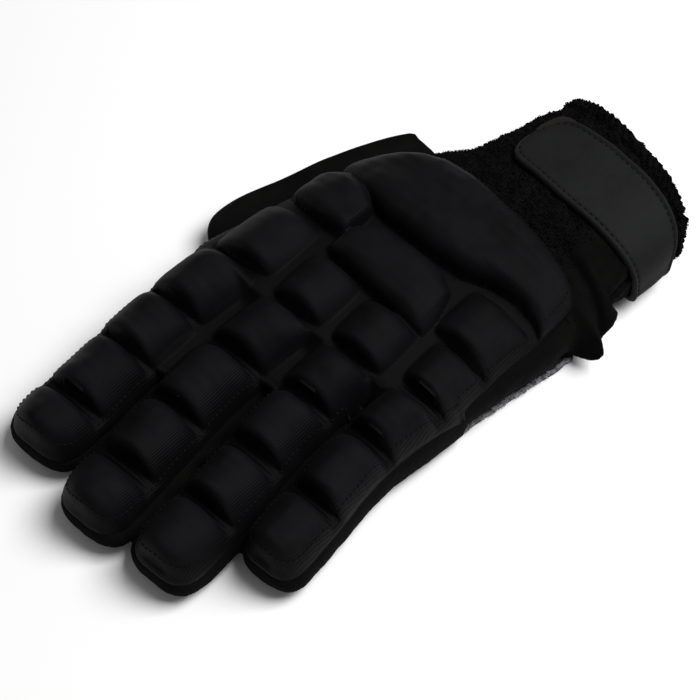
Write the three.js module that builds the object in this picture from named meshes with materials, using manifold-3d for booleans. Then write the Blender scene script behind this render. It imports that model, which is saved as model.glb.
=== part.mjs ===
import * as THREE from "three";
import { mergeVertices } from "three/addons/utils/BufferGeometryUtils.js";
import Module from "manifold-3d";

// Left-hand indoor hockey glove lying palm down, in millimetres, +Z up.
// Fingers point to -Y, the wrist opening faces +Y, the thumb lies on the -X side.
// z = 0 is the surface it rests on and y = 0 is the knuckle line.

// Hand
const HAND_WIDTH = 114;
const HAND_LENGTH = 84;
const HAND_THICKNESS = 26;
const FABRIC_WALL = 1.5;

// Fingers, each reach measured from the knuckle line to the tip
const INDEX_REACH = 97.5;
const MIDDLE_REACH = 107;
const RING_REACH = 105;
const LITTLE_REACH = 80.5;
const FINGER_THICKNESS = 14;

// Thumb
const THUMB_LENGTH = 78;
const THUMB_WIDTH = 26;
const THUMB_THICKNESS = 13.2;

// Wrist
const WRIST_WIDTH = 77;
const WRIST_THICKNESS = 30;
const WRIST_LIFT = 1.2;
const WRIST_TURN_DEGREES = 13;
const CUFF_LENGTH = 45.5;
const CUFF_WALL = 2.4;
const HEM_DEPTH = 5;
const HEM_EXTRA = 1;
const RIM_SLANT = 6;
const RIM_NARROWING = 0.09;
const PLEAT_DEPTH = 8;
const PLEAT_WIDTH = 11;

// Strap
const STRAP_WIDTH = 31;
const STRAP_THICKNESS = 2;
const STRAP_START = 5;

// Foam panel
const FLANGE_THICKNESS = 2;
const FLANGE_INSET = 0.6;
const BLOCK_RISE = 8;
const MAIN_PAD_RISE = 9.5;

// Palm patch
const PATCH_THICKNESS = 1.2;

// Free space kept between neighbouring pieces
const CLEARANCE = 0.3;

// Corners nearer to each other than this are one corner
const MERGE_DISTANCE = 0.003;

// Height of the cloth above the resting surface, over the palm patch
const SOLE = PATCH_THICKNESS + CLEARANCE;

// How full the round sections are: 2 is an ellipse, more is squarer
const TOP_FULLNESS = 2.5;
const BOTTOM_FULLNESS = 3.4;
const FLANGE_FULLNESS = 3.1;
const TIP_FULLNESS = 2.8;

// Height of the widest line of each section, as a share of its thickness
const WIDEST_SHARE = 0.42;

// Places along the hand: at, in shares of the hand length from the knuckle line;
// centre and half in shares of the hand width; wrist is how far the section has
// become the wrist section; top in shares of the thickness.
const HAND = [
  { at: -0.1, centre: -0.127, half: 0.483, wrist: 0, top: 0.92 },
  { at: 0, centre: -0.118, half: 0.499, wrist: 0, top: 0.955 },
  { at: 0.18, centre: -0.092, half: 0.49, wrist: 0, top: 0.985 },
  { at: 0.36, centre: -0.066, half: 0.48, wrist: 0, top: 1 },
  { at: 0.55, centre: -0.035, half: 0.475, wrist: 0.02, top: 1 },
  { at: 0.69, centre: -0.015, half: 0.472, wrist: 0.12, top: 0.99 },
  { at: 0.81, centre: 0.02, half: 0.46, wrist: 0.4, top: 0.98 },
  { at: 0.9, centre: 0.06, half: 0.44, wrist: 0.75, top: 0.98 },
  { at: 1, centre: 0.107, half: 0.38, wrist: 1, top: 1 },
];

// Corners of each ring, and steps along the strap's width and the patch outline
const HAND_STEPS = 28;
const LINING_STEPS = 20;
const FINGER_STEPS = 16;
const FINGER_LINING_STEPS = 12;
const WEB_STEPS = 12;
const STRAP_STEPS = 4;
const PATCH_STEPS = 48;

// Places of the hand sections that are built, in shares of the hand length
const HAND_PLACES = [-0.1, -0.07, 0.02, 0.18, 0.36, 0.54, 0.64, 0.71, 0.78, 0.85, 0.92, 1];
const LINING_PLACES = [-0.1, -0.07, 0.02, 0.25, 0.5, 0.75, 0.88, 1];

// The cuff and its lining begin this far inside the hand, in shares of its length
const CUFF_OVERLAP_SHARE = 0.1;
const CUFF_LINING_OVERLAP_SHARE = 0.3;

// Places of the cuff sections and its lining, in shares of the cuff length; the
// hem swells over the hem step
const CUFF_PLACES = [0.25, 0.55];
const CUFF_LINING_PLACES = [0.5, 1.05];
const HEM_STEP_SHARE = 0.03;

// Places of the panel flange over the hand, in shares of the hand length
const FLANGE_PLACES = [-0.09, 0, 0.15, 0.3, 0.45, 0.6, 0.66];

// How fast the pleats fade with height
const PLEAT_FADE = 1.2;

// Loose pleats at the little-finger side: at in shares of the hand length
const PLEATS = [
  { at: 0.715, depth: 1.3 },
  { at: 0.86, depth: 1.1 },
  { at: 0.98, depth: 0.45 },
];

// Finger columns: root, low, high and tip are the sideways places of the
// centreline and width is the finger width, in shares of the hand width.
const FINGERS = [
  {
    name: "index",
    reach: INDEX_REACH,
    root: -0.438,
    low: -0.497,
    high: -0.496,
    tip: -0.493,
    width: 0.262,
  },
  {
    name: "middle",
    reach: MIDDLE_REACH,
    root: -0.18,
    low: -0.237,
    high: -0.228,
    tip: -0.206,
    width: 0.258,
  },
  {
    name: "ring",
    reach: RING_REACH,
    root: 0.057,
    low: 0.031,
    high: 0.053,
    tip: 0.066,
    width: 0.243,
  },
  {
    name: "little",
    reach: LITTLE_REACH,
    root: 0.29,
    low: 0.259,
    high: 0.272,
    tip: 0.289,
    width: 0.216,
  },
];

// Places of the four centreline columns above, in shares of the reach
const COLUMN_PLACES = { root: -0.1, low: 0.35, high: 0.65, tip: 1 };

// Finger profile: at in shares of the reach, width in shares of the finger width,
// blend is how far the top has come down from the hand top to the fingertip top
const FINGER_PROFILE = [
  { at: -0.1, width: 1.02, blend: 0.6 },
  { at: 0.08, width: 1.03, blend: 0.14 },
  { at: 0.3, width: 0.96, blend: 0.45 },
  { at: 0.55, width: 0.97, blend: 0.7 },
  { at: 0.8, width: 1, blend: 0.9 },
  { at: 1, width: 1, blend: 1 },
];

// Places of the finger sections that are built, in shares of the reach; those past
// the middle follow the tip
const FINGER_PLACES = [-0.1, 0.08, 0.26, 0.42, 0.6, 0.78, 0.88, 0.94, 0.975, 0.995];
const FINGER_MIDDLE = 0.5;

// The panel follows the fingers up to here over the hand, in shares of its length
const FINGER_COVER_SHARE = 0.1;

// Places of the web sections: the first is over the hand in shares of the finger's
// reach, the others in shares of the web's own reach
const WEB_ROOT = -0.1;
const WEB_PLACES = [0.5, 0.8, 0.95, 0.995];

// Places of the cut through the middle of a web, in shares of the finger's reach
const WEB_CUT_PLACES = [-0.2, 0.1, 0.3, 0.5, 0.7, 1.1, 1.4];

// How far a web reaches into the fingers beside it, and how high it stands between
// their widest line and their top
const WEB_OVERLAP = 6;
const WEB_HEIGHT_SHARE = 0.72;

// Webs between neighbouring fingers: reach in shares of the nearer finger's reach
const WEBS = [
  { from: 0, to: 1, reach: 0.5 },
  { from: 1, to: 2, reach: 0.28 },
  { from: 2, to: 3, reach: 0.1 },
];

// Steps and fullness of the padded blocks, and the narrowing of their corners
const BLOCK_SHAPE = { across: 5, along: 5, fullness: 3 };
const KNUCKLE_PAD_SHAPE = { across: 5, along: 8, fullness: 3 };
const MAIN_PAD_SHAPE = { across: 6, along: 14, fullness: 4 };
const CORNER_NARROWING = 0.12;
const CORNER_POWER = 6;

// Raised blocks on the fingers and knuckles: near and far ends in shares of the
// finger's reach, with the minus sign over the hand; shift is the sideways move
// and half the half width, both in shares of the finger width.
const BLOCKS = [
  { finger: 0, near: 0.815, far: 0.975, shift: 0, half: 0.41 },
  { finger: 0, near: 0.545, far: 0.755, shift: 0, half: 0.38 },
  { finger: 0, near: 0.31, far: 0.5, shift: 0, half: 0.38 },
  { finger: 0, near: 0.045, far: 0.262, shift: 0, half: 0.38 },
  { finger: 0, near: -0.255, far: -0.005, shift: 0.02, half: 0.39 },
  { finger: 1, near: 0.815, far: 0.975, shift: 0, half: 0.41 },
  { finger: 1, near: 0.56, far: 0.75, shift: 0, half: 0.38 },
  { finger: 1, near: 0.3, far: 0.515, shift: 0, half: 0.38 },
  { finger: 1, near: 0.072, far: 0.25, shift: 0, half: 0.38 },
  { finger: 1, near: -0.15, far: 0.03, shift: 0, half: 0.34 },
  { finger: 2, near: 0.765, far: 0.97, shift: 0, half: 0.41 },
  { finger: 2, near: 0.54, far: 0.715, shift: 0, half: 0.39 },
  { finger: 2, near: 0.285, far: 0.475, shift: 0, half: 0.39 },
  { finger: 2, near: 0.08, far: 0.235, shift: 0, half: 0.39 },
  { finger: 2, near: -0.135, far: 0.035, shift: 0, half: 0.37 },
  { finger: 3, near: 0.69, far: 0.965, shift: 0, half: 0.41 },
  { finger: 3, near: 0.35, far: 0.62, shift: 0.04, half: 0.4 },
  { finger: 3, near: 0.075, far: 0.275, shift: 0.06, half: 0.4 },
  { finger: 3, near: -0.215, far: -0.01, shift: 0.03, half: 0.38 },
  { finger: 3, near: -0.51, far: -0.265, shift: -0.05, half: 0.46 },
];

// The last index block turns with the thumb side: columns as in the pads below
const INDEX_END_BLOCK = [
  { x: -0.515, low: 0.41, high: 0.51 },
  { x: -0.48, low: 0.38, high: 0.58 },
  { x: -0.4, low: 0.35, high: 0.62 },
  { x: -0.32, low: 0.335, high: 0.585 },
  { x: -0.255, low: 0.33, high: 0.53 },
  { x: -0.24, low: 0.36, high: 0.47 },
];

// Wide pad over the middle and ring knuckles: x in shares of the hand width,
// low and high in shares of the hand length
const KNUCKLE_PAD = [
  { x: -0.265, low: 0.26, high: 0.3 },
  { x: -0.235, low: 0.235, high: 0.42 },
  { x: -0.16, low: 0.225, high: 0.475 },
  { x: -0.05, low: 0.2, high: 0.475 },
  { x: 0.07, low: 0.18, high: 0.46 },
  { x: 0.13, low: 0.18, high: 0.41 },
  { x: 0.165, low: 0.195, high: 0.26 },
];

// Main pad at the wrist end of the panel, columns as above
const MAIN_PAD = [
  { x: -0.462, low: 0.645, high: 0.73 },
  { x: -0.44, low: 0.615, high: 0.79 },
  { x: -0.375, low: 0.585, high: 0.85 },
  { x: -0.29, low: 0.55, high: 0.895 },
  { x: -0.2, low: 0.515, high: 0.91 },
  { x: -0.1, low: 0.505, high: 0.905 },
  { x: 0.03, low: 0.5, high: 0.88 },
  { x: 0.12, low: 0.505, high: 0.865 },
  { x: 0.2, low: 0.55, high: 0.845 },
  { x: 0.3, low: 0.57, high: 0.815 },
  { x: 0.37, low: 0.555, high: 0.785 },
  { x: 0.41, low: 0.53, high: 0.74 },
  { x: 0.425, low: 0.54, high: 0.66 },
];

// Thumb centreline from the base to the tip: at in shares of the thumb length;
// x in shares of the hand width; width in shares of the thumb width; top in
// shares of the hand thickness at the base and of the thumb thickness at the tip
const THUMB = [
  { at: 0, x: -0.345, width: 0.82, blend: 0.75 },
  { at: 0.14, x: -0.395, width: 0.94, blend: 0.7 },
  { at: 0.4, x: -0.478, width: 1, blend: 0.8 },
  { at: 0.6, x: -0.532, width: 1.02, blend: 1 },
  { at: 0.8, x: -0.578, width: 1.03, blend: 1 },
  { at: 1, x: -0.59, width: 1, blend: 1 },
];

// Places of the thumb sections that are built, in shares of the thumb length, and
// the step over which its direction is read
const THUMB_PLACES = [0, 0.04, 0.16, 0.32, 0.5, 0.65, 0.8, 0.9, 0.96, 0.99];
const DIRECTION_STEP = 0.02;

// Narrowing of the thumb base, and the part of the width over which it rounds
const THUMB_BASE_NARROWING = 0.8;
const THUMB_BASE_PARTS = 6;

// The thumb base ends here and the sleeve seams lie here, in shares of the hand length
const THUMB_BASE_SHARE = 1.02;
const THUMB_SEAM_SHARE = 0.6;
const FINGER_SEAM_SHARE = -0.12;

// The cuff starts under the main pad, in shares of the hand length
const CUFF_START_SHARE = 0.74;

// Strap outline: turn is the place around the cuff section from the end over the
// top to the little-finger side and under it, in degrees; low and high are the
// edges in shares of the strap width.
const STRAP = [
  { turn: 124, low: 0.3, high: 0.62 },
  { turn: 122, low: 0.14, high: 0.78 },
  { turn: 118, low: 0.03, high: 0.87 },
  { turn: 111, low: -0.01, high: 0.93 },
  { turn: 99, low: 0.01, high: 0.98 },
  { turn: 85, low: 0.05, high: 1.04 },
  { turn: 70, low: 0.11, high: 1.08 },
  { turn: 52, low: 0.16, high: 1.1 },
  { turn: 36, low: 0.2, high: 1.1 },
  { turn: 20, low: 0.23, high: 1.08 },
  { turn: 0, low: 0.26, high: 1.06 },
  { turn: -25, low: 0.28, high: 1.02 },
  { turn: -50, low: 0.3, high: 1 },
];

// Patch outline under the palm: x in shares of the hand width from the knuckle
// centre, y in shares of the hand length
const PATCH_OUTLINE = [
  { x: -0.4, y: -0.04 },
  { x: -0.1, y: -0.08 },
  { x: 0.22, y: -0.08 },
  { x: 0.34, y: 0 },
  { x: 0.362, y: 0.12 },
  { x: 0.386, y: 0.32 },
  { x: 0.408, y: 0.48 },
  { x: 0.431, y: 0.64 },
  { x: 0.4, y: 0.74 },
  { x: 0.1, y: 0.8 },
  { x: -0.2, y: 0.76 },
  { x: -0.36, y: 0.6 },
];

// Distance that reaches past the whole glove from anywhere in it
const FAR = 4 * HAND_WIDTH;

const wasm = await Module();
wasm.setup();

function mix(from, to, share) {
  return from + (to - from) * share;
}

function signedPower(value, power) {
  return Math.sign(value) * Math.abs(value) ** power;
}

// Smooth value of one column of a table at a place between its rows
function valueAt(table, column, place) {
  const last = table.length - 1;
  const clamped = THREE.MathUtils.clamp(place, table[0].at, table[last].at);
  let row = 0;
  while (row < last - 1 && clamped > table[row + 1].at) {
    row += 1;
  }
  const slope = (first, second) =>
    (table[second][column] - table[first][column]) / (table[second].at - table[first].at);
  const width = table[row + 1].at - table[row].at;
  const share = (clamped - table[row].at) / width;
  const before = slope(Math.max(row - 1, 0), row + 1) * width;
  const after = slope(row, Math.min(row + 2, last)) * width;
  const start = table[row][column];
  const end = table[row + 1][column];
  const cube = share ** 3;
  const square = share ** 2;
  return (
    start * (2 * cube - 3 * square + 1) +
    before * (cube - 2 * square + share) +
    end * (3 * square - 2 * cube) +
    after * (cube - square)
  );
}

// Closed solid between rings that all have the same number of points
function loft(rings) {
  const size = rings[0].length;
  const points = rings.flat();
  const faces = [];
  for (let ring = 0; ring < rings.length - 1; ring += 1) {
    for (let step = 0; step < size; step += 1) {
      const a = ring * size + step;
      const b = ring * size + ((step + 1) % size);
      faces.push(a, b, b + size, a, b + size, a + size);
    }
  }
  for (const ring of [0, rings.length - 1]) {
    const centre = new THREE.Vector3();
    rings[ring].forEach((point) => centre.addScaledVector(point, 1 / size));
    points.push(centre);
    for (let step = 0; step < size; step += 1) {
      const a = ring * size + step;
      const b = ring * size + ((step + 1) % size);
      faces.push(...(ring === 0 ? [b, a] : [a, b]), points.length - 1);
    }
  }
  return solidFrom(points, faces);
}

// Solid from points and faces, turned so that the faces look outwards
function solidFrom(points, faces) {
  const geometry = new THREE.BufferGeometry().setFromPoints(points);
  geometry.setIndex(faces);
  const merged = mergeVertices(geometry, MERGE_DISTANCE);
  const corners = merged.attributes.position;
  const index = Array.from(merged.index.array);
  const corner = (place) => new THREE.Vector3().fromBufferAttribute(corners, index[place]);
  let volume = 0;
  for (let face = 0; face < index.length; face += 3) {
    volume += corner(face).dot(corner(face + 1).cross(corner(face + 2)));
  }
  const kept = [];
  for (let face = 0; face < index.length; face += 3) {
    const [a, b, c] = index.slice(face, face + 3);
    if (a !== b && b !== c && a !== c) {
      kept.push(a, volume > 0 ? b : c, volume > 0 ? c : b);
    }
  }
  const mesh = new wasm.Mesh({
    numProp: 3,
    vertProperties: Float32Array.from(corners.array),
    triVerts: Uint32Array.from(kept),
  });
  return new wasm.Manifold(mesh);
}

function join(solids) {
  return solids.reduce((all, solid) => all.add(solid));
}

// Everything on one side of a plane across Y
function half(solid, place, side) {
  const box = new THREE.BoxGeometry(FAR, FAR, FAR);
  box.deleteAttribute("normal");
  box.deleteAttribute("uv");
  box.translate(0, place + (side * FAR) / 2, 0);
  const merged = mergeVertices(box);
  const points = [];
  for (let corner = 0; corner < merged.attributes.position.count; corner += 1) {
    points.push(new THREE.Vector3().fromBufferAttribute(merged.attributes.position, corner));
  }
  return solid.intersect(solidFrom(points, Array.from(merged.index.array)));
}

// Ring of a section: across is the sideways direction in plan
function sectionRing(section, steps) {
  const { centre, across, halfWidth, bottom, top, fullness } = section;
  const widest = mix(bottom, top, section.widest ?? WIDEST_SHARE);
  const ring = [];
  for (let step = 0; step < steps; step += 1) {
    const turn = (2 * Math.PI * step) / steps;
    const upper = Math.sin(turn) >= 0;
    const power = 2 / (upper ? fullness : BOTTOM_FULLNESS);
    const sideways = halfWidth * signedPower(Math.cos(turn), power);
    const rise = signedPower(Math.sin(turn), power) * (upper ? top - widest : widest - bottom);
    const extra = section.bulge ? section.bulge(Math.cos(turn), Math.sin(turn)) : 0;
    ring.push(
      new THREE.Vector3(
        centre.x + across.x * (sideways + extra),
        centre.y + across.y * (sideways + extra),
        widest + rise,
      ),
    );
  }
  return ring;
}

// Hand section at a place along the hand, grown outwards
function handSection(at, grow) {
  const wrist = valueAt(HAND, "wrist", at);
  const turn = THREE.MathUtils.degToRad(WRIST_TURN_DEGREES) * wrist;
  const wide = HAND_WIDTH * valueAt(HAND, "half", at);
  const thickness = mix(HAND_THICKNESS, WRIST_THICKNESS, wrist) * valueAt(HAND, "top", at);
  const lift = WRIST_LIFT * wrist;
  return {
    centre: new THREE.Vector2(HAND_WIDTH * valueAt(HAND, "centre", at), HAND_LENGTH * at),
    across: new THREE.Vector2(Math.cos(turn), -Math.sin(turn)),
    halfWidth: mix(wide, WRIST_WIDTH / 2, wrist) + grow,
    bottom: SOLE + lift - grow,
    top: SOLE + lift + thickness + grow,
    fullness: TOP_FULLNESS,
  };
}

// How far the pleats push the little-finger side out at a place along the hand
function pleatAt(at) {
  return PLEATS.reduce((sum, pleat) => {
    const away = ((at - pleat.at) * HAND_LENGTH) / (PLEAT_WIDTH / 2);
    return sum + PLEAT_DEPTH * pleat.depth * Math.exp(-(away ** 2));
  }, 0);
}

// Sections of the hand cloth, with the pleats
function handRings(places, grow) {
  return places.map((place) => {
    const first = place === HAND_PLACES[0];
    const at = first ? place - grow / HAND_LENGTH : place;
    const section = handSection(at, first ? grow - FABRIC_WALL : grow);
    const depth = pleatAt(at);
    section.bulge = (side, height) =>
      depth * Math.max(side, 0) ** 2 * Math.max(1 - Math.max(height, 0) * PLEAT_FADE, 0);
    return sectionRing(section, HAND_STEPS);
  });
}

// Sections of the smooth space inside the hand cloth
function liningRings(places, grow) {
  return places.map((place) => {
    const first = place === LINING_PLACES[0];
    const at = first ? place - grow / HAND_LENGTH : place;
    return sectionRing(handSection(at, grow), LINING_STEPS);
  });
}

// Narrowing of a rounded end that closes over the last part of a length
function endRound(distanceLeft, roundLength) {
  const share = THREE.MathUtils.clamp(1 - distanceLeft / roundLength, 0, 1);
  return (1 - share ** TIP_FULLNESS) ** (1 / TIP_FULLNESS);
}

// Sideways place of a finger's centreline, at in shares of the reach
function columnX(finger, at) {
  const rows = Object.entries(COLUMN_PLACES).map(([column, place]) => ({
    at: place,
    x: finger[column],
  }));
  return HAND_WIDTH * valueAt(rows, "x", at);
}

// Finger section at a distance from the knuckle line, grown outwards
function fingerSection(finger, at, grow, end) {
  const rootTop = HAND_THICKNESS * HAND[0].top;
  const blend = valueAt(FINGER_PROFILE, "blend", at);
  const width = HAND_WIDTH * finger.width * valueAt(FINGER_PROFILE, "width", at);
  const round = endRound((end - at) * finger.reach, width / 2);
  const thickness = mix(rootTop, FINGER_THICKNESS, blend);
  const middle = SOLE + thickness * WIDEST_SHARE;
  const top = SOLE + thickness + grow;
  return {
    centre: new THREE.Vector2(columnX(finger, at), -finger.reach * at),
    across: new THREE.Vector2(1, 0),
    halfWidth: (width / 2 + grow) * round,
    bottom: mix(middle, SOLE - grow, Math.sqrt(round)),
    top: mix(middle, top, Math.sqrt(round)),
    fullness: TOP_FULLNESS,
  };
}

function fingerSolid(finger, grow, steps) {
  const end = 1 + grow / finger.reach;
  return loft(
    FINGER_PLACES.map((place) => {
      const pastMiddle = place > FINGER_MIDDLE;
      const at = pastMiddle ? place * end : place - Math.max(grow, 0) / finger.reach;
      return sectionRing(fingerSection(finger, at, grow, end), steps);
    }),
  );
}

// Section of the panel flange over a section of cloth, flat underneath
function flangeOver(section) {
  section.bottom = mix(section.bottom, section.top, WIDEST_SHARE);
  section.top += FLANGE_INSET + CLEARANCE + FLANGE_THICKNESS;
  section.fullness = FLANGE_FULLNESS;
  section.widest = 0;
  return section;
}

// Flange of the foam panel over a finger
function fingerFlange(finger) {
  const end = 1 - FLANGE_INSET / finger.reach;
  return loft(
    FINGER_PLACES.map((place) => {
      const at = place > FINGER_MIDDLE ? place * end : place;
      const section = fingerSection(finger, at, -FLANGE_INSET, end);
      return sectionRing(flangeOver(section), FINGER_STEPS);
    }),
  );
}

// Sides of the space between two fingers at a distance from the knuckle line
function webSides(web, distance) {
  const from = FINGERS[web.from];
  const to = FINGERS[web.to];
  const near = fingerSection(from, distance / from.reach, 0, 2);
  const far = fingerSection(to, distance / to.reach, 0, 2);
  return {
    left: near.centre.x + near.halfWidth,
    right: far.centre.x - far.halfWidth,
    lower: Math.min(near.top, far.top),
  };
}

// Everything beyond the middle of a web, on one side of it in plan
function beyondWeb(web, side) {
  const reach = FINGERS[web.to].reach;
  return loft(
    WEB_CUT_PLACES.map((share) => {
      const { left, right } = webSides(web, share * reach);
      const start = (left + right) / 2 - (side * CLEARANCE) / 2;
      const end = side * FAR;
      const y = -share * reach;
      return [
        new THREE.Vector3(start, y, -HAND_THICKNESS),
        new THREE.Vector3(end, y, -HAND_THICKNESS),
        new THREE.Vector3(end, y, 2 * HAND_THICKNESS),
        new THREE.Vector3(start, y, 2 * HAND_THICKNESS),
      ];
    }),
  );
}

// Web that closes the space between two neighbouring fingers near the hand
function webSolid(web, grow, rise, bottom) {
  const reach = Math.min(FINGERS[web.from].reach, FINGERS[web.to].reach);
  const end = web.reach * reach + grow;
  const places = [WEB_ROOT * reach, ...WEB_PLACES.map((share) => end * share)];
  return loft(
    places.map((distance) => {
      const { left, right, lower } = webSides(web, distance);
      const round = endRound(end - distance, WEB_OVERLAP);
      const middle = mix(SOLE, lower, WIDEST_SHARE);
      const upper = mix(middle, lower, WEB_HEIGHT_SHARE) + grow + rise;
      return sectionRing(
        {
          centre: new THREE.Vector2((left + right) / 2, -distance),
          across: new THREE.Vector2(1, 0),
          halfWidth: ((right - left) / 2 + WEB_OVERLAP + grow) * round,
          bottom,
          top: mix(middle, upper, Math.sqrt(round)),
          fullness: TOP_FULLNESS,
        },
        WEB_STEPS,
      );
    }),
  );
}

// Height of the cloth under the panel at a place in plan
function clothTop(x, y) {
  const heights = FINGERS.map((finger) => {
    const section = fingerSection(finger, Math.max(-y / finger.reach, FINGER_PLACES[0]), 0, 1);
    return y > HAND_LENGTH * FINGER_COVER_SHARE ? 0 : topOf(section, x);
  });
  const at = y / HAND_LENGTH;
  return Math.max(...heights, at > HAND[0].at ? topOf(handSection(at, 0), x) : 0);
}

function topOf(section, x) {
  const share = Math.min(Math.abs(x - section.centre.x) / Math.max(section.halfWidth, 1), 1);
  const widest = mix(section.bottom, section.top, WIDEST_SHARE);
  const rise = (1 - share ** section.fullness) ** (1 / section.fullness);
  return widest + (section.top - widest) * rise;
}

// Padded block: plan gives a point for u and v from -1 to 1
function paddedBlock(plan, rise, shape) {
  const rows = [];
  const floorRows = [];
  const { across, along, fullness } = shape;
  const dome = (share) => Math.max(1 - Math.abs(share) ** fullness, 0) ** (1 / fullness);
  for (let i = 0; i <= along; i += 1) {
    const v = Math.sin(Math.PI * (i / along - 0.5));
    const row = [];
    const floorRow = [];
    for (let j = 0; j <= across; j += 1) {
      const u = Math.sin(Math.PI * (j / across - 0.5));
      const place = plan(u, v);
      const base = clothTop(place.x, place.y) + CLEARANCE;
      const height = FLANGE_THICKNESS / 2 + (rise + FLANGE_THICKNESS / 2) * dome(u) * dome(v);
      row.push(new THREE.Vector3(place.x, place.y, base + height));
      floorRow.push(new THREE.Vector3(place.x, place.y, base - FLANGE_THICKNESS));
    }
    rows.push(row);
    floorRows.push(floorRow);
  }
  return slab(rows, floorRows);
}

// Closed solid between an upper and a lower grid of points
function slab(upper, lower) {
  const high = upper.length;
  const wide = upper[0].length;
  const points = [...upper.flat(), ...lower.flat()];
  const count = high * wide;
  const faces = [];
  const quad = (a, b, c, d) => faces.push(a, b, c, a, c, d);
  for (let i = 0; i < high - 1; i += 1) {
    for (let j = 0; j < wide - 1; j += 1) {
      const a = i * wide + j;
      quad(a, a + 1, a + 1 + wide, a + wide);
      quad(a + wide + count, a + 1 + wide + count, a + 1 + count, a + count);
    }
    const first = i * wide;
    const last = i * wide + wide - 1;
    quad(first, first + wide, first + wide + count, first + count);
    quad(last + count, last + wide + count, last + wide, last);
  }
  for (let j = 0; j < wide - 1; j += 1) {
    const end = (high - 1) * wide + j;
    quad(j + count, j + 1 + count, j + 1, j);
    quad(end, end + 1, end + 1 + count, end + count);
  }
  return solidFrom(points, faces);
}

// Plan of a block on a finger column
function columnPlan(block) {
  const finger = FINGERS[block.finger];
  const width = HAND_WIDTH * finger.width;
  return (u, v) => {
    const at = mix(block.near, block.far, (v + 1) / 2);
    const round = endRound((1 - at) * finger.reach, width / 2);
    const corner = 1 - CORNER_NARROWING * Math.abs(v) ** CORNER_POWER;
    return {
      x: columnX(finger, at) + width * (block.shift + block.half * u * round * corner),
      y: -finger.reach * at,
    };
  };
}

// Plan of a pad given by a table of columns across the hand
function padPlan(table) {
  const last = table.length - 1;
  const rows = table.map((row, place) => ({ ...row, at: place / last }));
  return (u, v) => {
    const at = Math.asin(THREE.MathUtils.clamp(v, -1, 1)) / Math.PI + 0.5;
    return {
      x: HAND_WIDTH * valueAt(rows, "x", at),
      y: HAND_LENGTH * mix(valueAt(rows, "low", at), valueAt(rows, "high", at), (u + 1) / 2),
    };
  };
}

// Thumb sections from the base to the tip
function thumbSolid(grow, steps) {
  const baseEnd = HAND_LENGTH * THUMB_BASE_SHARE;
  const centreAt = (at) =>
    new THREE.Vector2(HAND_WIDTH * valueAt(THUMB, "x", at), baseEnd - THUMB_LENGTH * at);
  return loft(
    THUMB_PLACES.map((place) => {
      const at = mix(-grow / THUMB_LENGTH, 1 + grow / THUMB_LENGTH, place);
      const ahead = centreAt(at + DIRECTION_STEP);
      const along = ahead.sub(centreAt(at - DIRECTION_STEP)).normalize();
      const width = THUMB_WIDTH * valueAt(THUMB, "width", at);
      const blend = valueAt(THUMB, "blend", at);
      const thickness = mix(HAND_THICKNESS, THUMB_THICKNESS, blend);
      const left = THUMB_LENGTH * (1 - at) + grow;
      const passed = THUMB_LENGTH * at + grow;
      const base = endRound(passed, width / THUMB_BASE_PARTS);
      const round = endRound(left, width / 2) * mix(THUMB_BASE_NARROWING, 1, base);
      const middle = SOLE + thickness * WIDEST_SHARE;
      return sectionRing(
        {
          centre: centreAt(at),
          across: new THREE.Vector2(-along.y, along.x),
          halfWidth: (width / 2 + grow) * round,
          bottom: mix(middle, SOLE - grow, Math.sqrt(round)),
          top: mix(middle, SOLE + thickness + grow, Math.sqrt(round)),
          fullness: TOP_FULLNESS,
        },
        steps,
      );
    }),
  );
}

// Point on the wrist cuff: along from the wrist end of the hand, turn in degrees
function cuffPoint(along, turnDegrees, grow) {
  const section = handSection(1, grow);
  const share = along / CUFF_LENGTH;
  const turn = THREE.MathUtils.degToRad(turnDegrees);
  const upper = Math.sin(turn) >= 0;
  const power = 2 / (upper ? TOP_FULLNESS : BOTTOM_FULLNESS);
  const narrow = 1 - RIM_NARROWING * share ** 2;
  const sideways = section.halfWidth * narrow * signedPower(Math.cos(turn), power);
  const slant = RIM_SLANT * share ** 2 * ((1 + Math.cos(turn)) / 2) ** 2;
  const top = section.top + WRIST_LIFT * share;
  const widest = mix(section.bottom, top, WIDEST_SHARE);
  const rise = signedPower(Math.sin(turn), power) * (upper ? top - widest : widest - section.bottom);
  const forward = new THREE.Vector2(-section.across.y, section.across.x);
  const distance = along - slant;
  return new THREE.Vector3(
    section.centre.x + section.across.x * sideways + forward.x * distance,
    section.centre.y + section.across.y * sideways + forward.y * distance,
    widest + rise,
  );
}

function cuffRing(along, grow, steps) {
  return Array.from({ length: steps }, (_, step) => cuffPoint(along, (360 * step) / steps, grow));
}

// Wrist strap: a band over the cuff between two grids of points
function strapSolid() {
  const lower = [];
  const upper = [];
  const aroundSteps = 2 * (STRAP.length - 1);
  const rows = STRAP.map((row, place) => ({ ...row, at: place / (STRAP.length - 1) }));
  for (let around = 0; around <= aroundSteps; around += 1) {
    const at = around / aroundSteps;
    const turn = valueAt(rows, "turn", at);
    const under = [];
    const over = [];
    for (let step = 0; step <= STRAP_STEPS; step += 1) {
      const share = mix(valueAt(rows, "low", at), valueAt(rows, "high", at), step / STRAP_STEPS);
      const along = STRAP_START + STRAP_WIDTH * share;
      under.push(cuffPoint(along, turn, 2 * CLEARANCE));
      over.push(cuffPoint(along, turn, 2 * CLEARANCE + STRAP_THICKNESS));
    }
    lower.push(under);
    upper.push(over);
  }
  return slab(upper, lower);
}

// Flat sheet under the palm
function patchSolid() {
  const outline = new THREE.CatmullRomCurve3(
    PATCH_OUTLINE.map((row) => new THREE.Vector3(HAND_WIDTH * row.x, HAND_LENGTH * row.y, 0)),
    true,
  ).getSpacedPoints(PATCH_STEPS);
  outline.pop();
  const raised = outline.map((point) => point.clone().setZ(PATCH_THICKNESS));
  return loft([outline, raised]);
}

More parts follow.
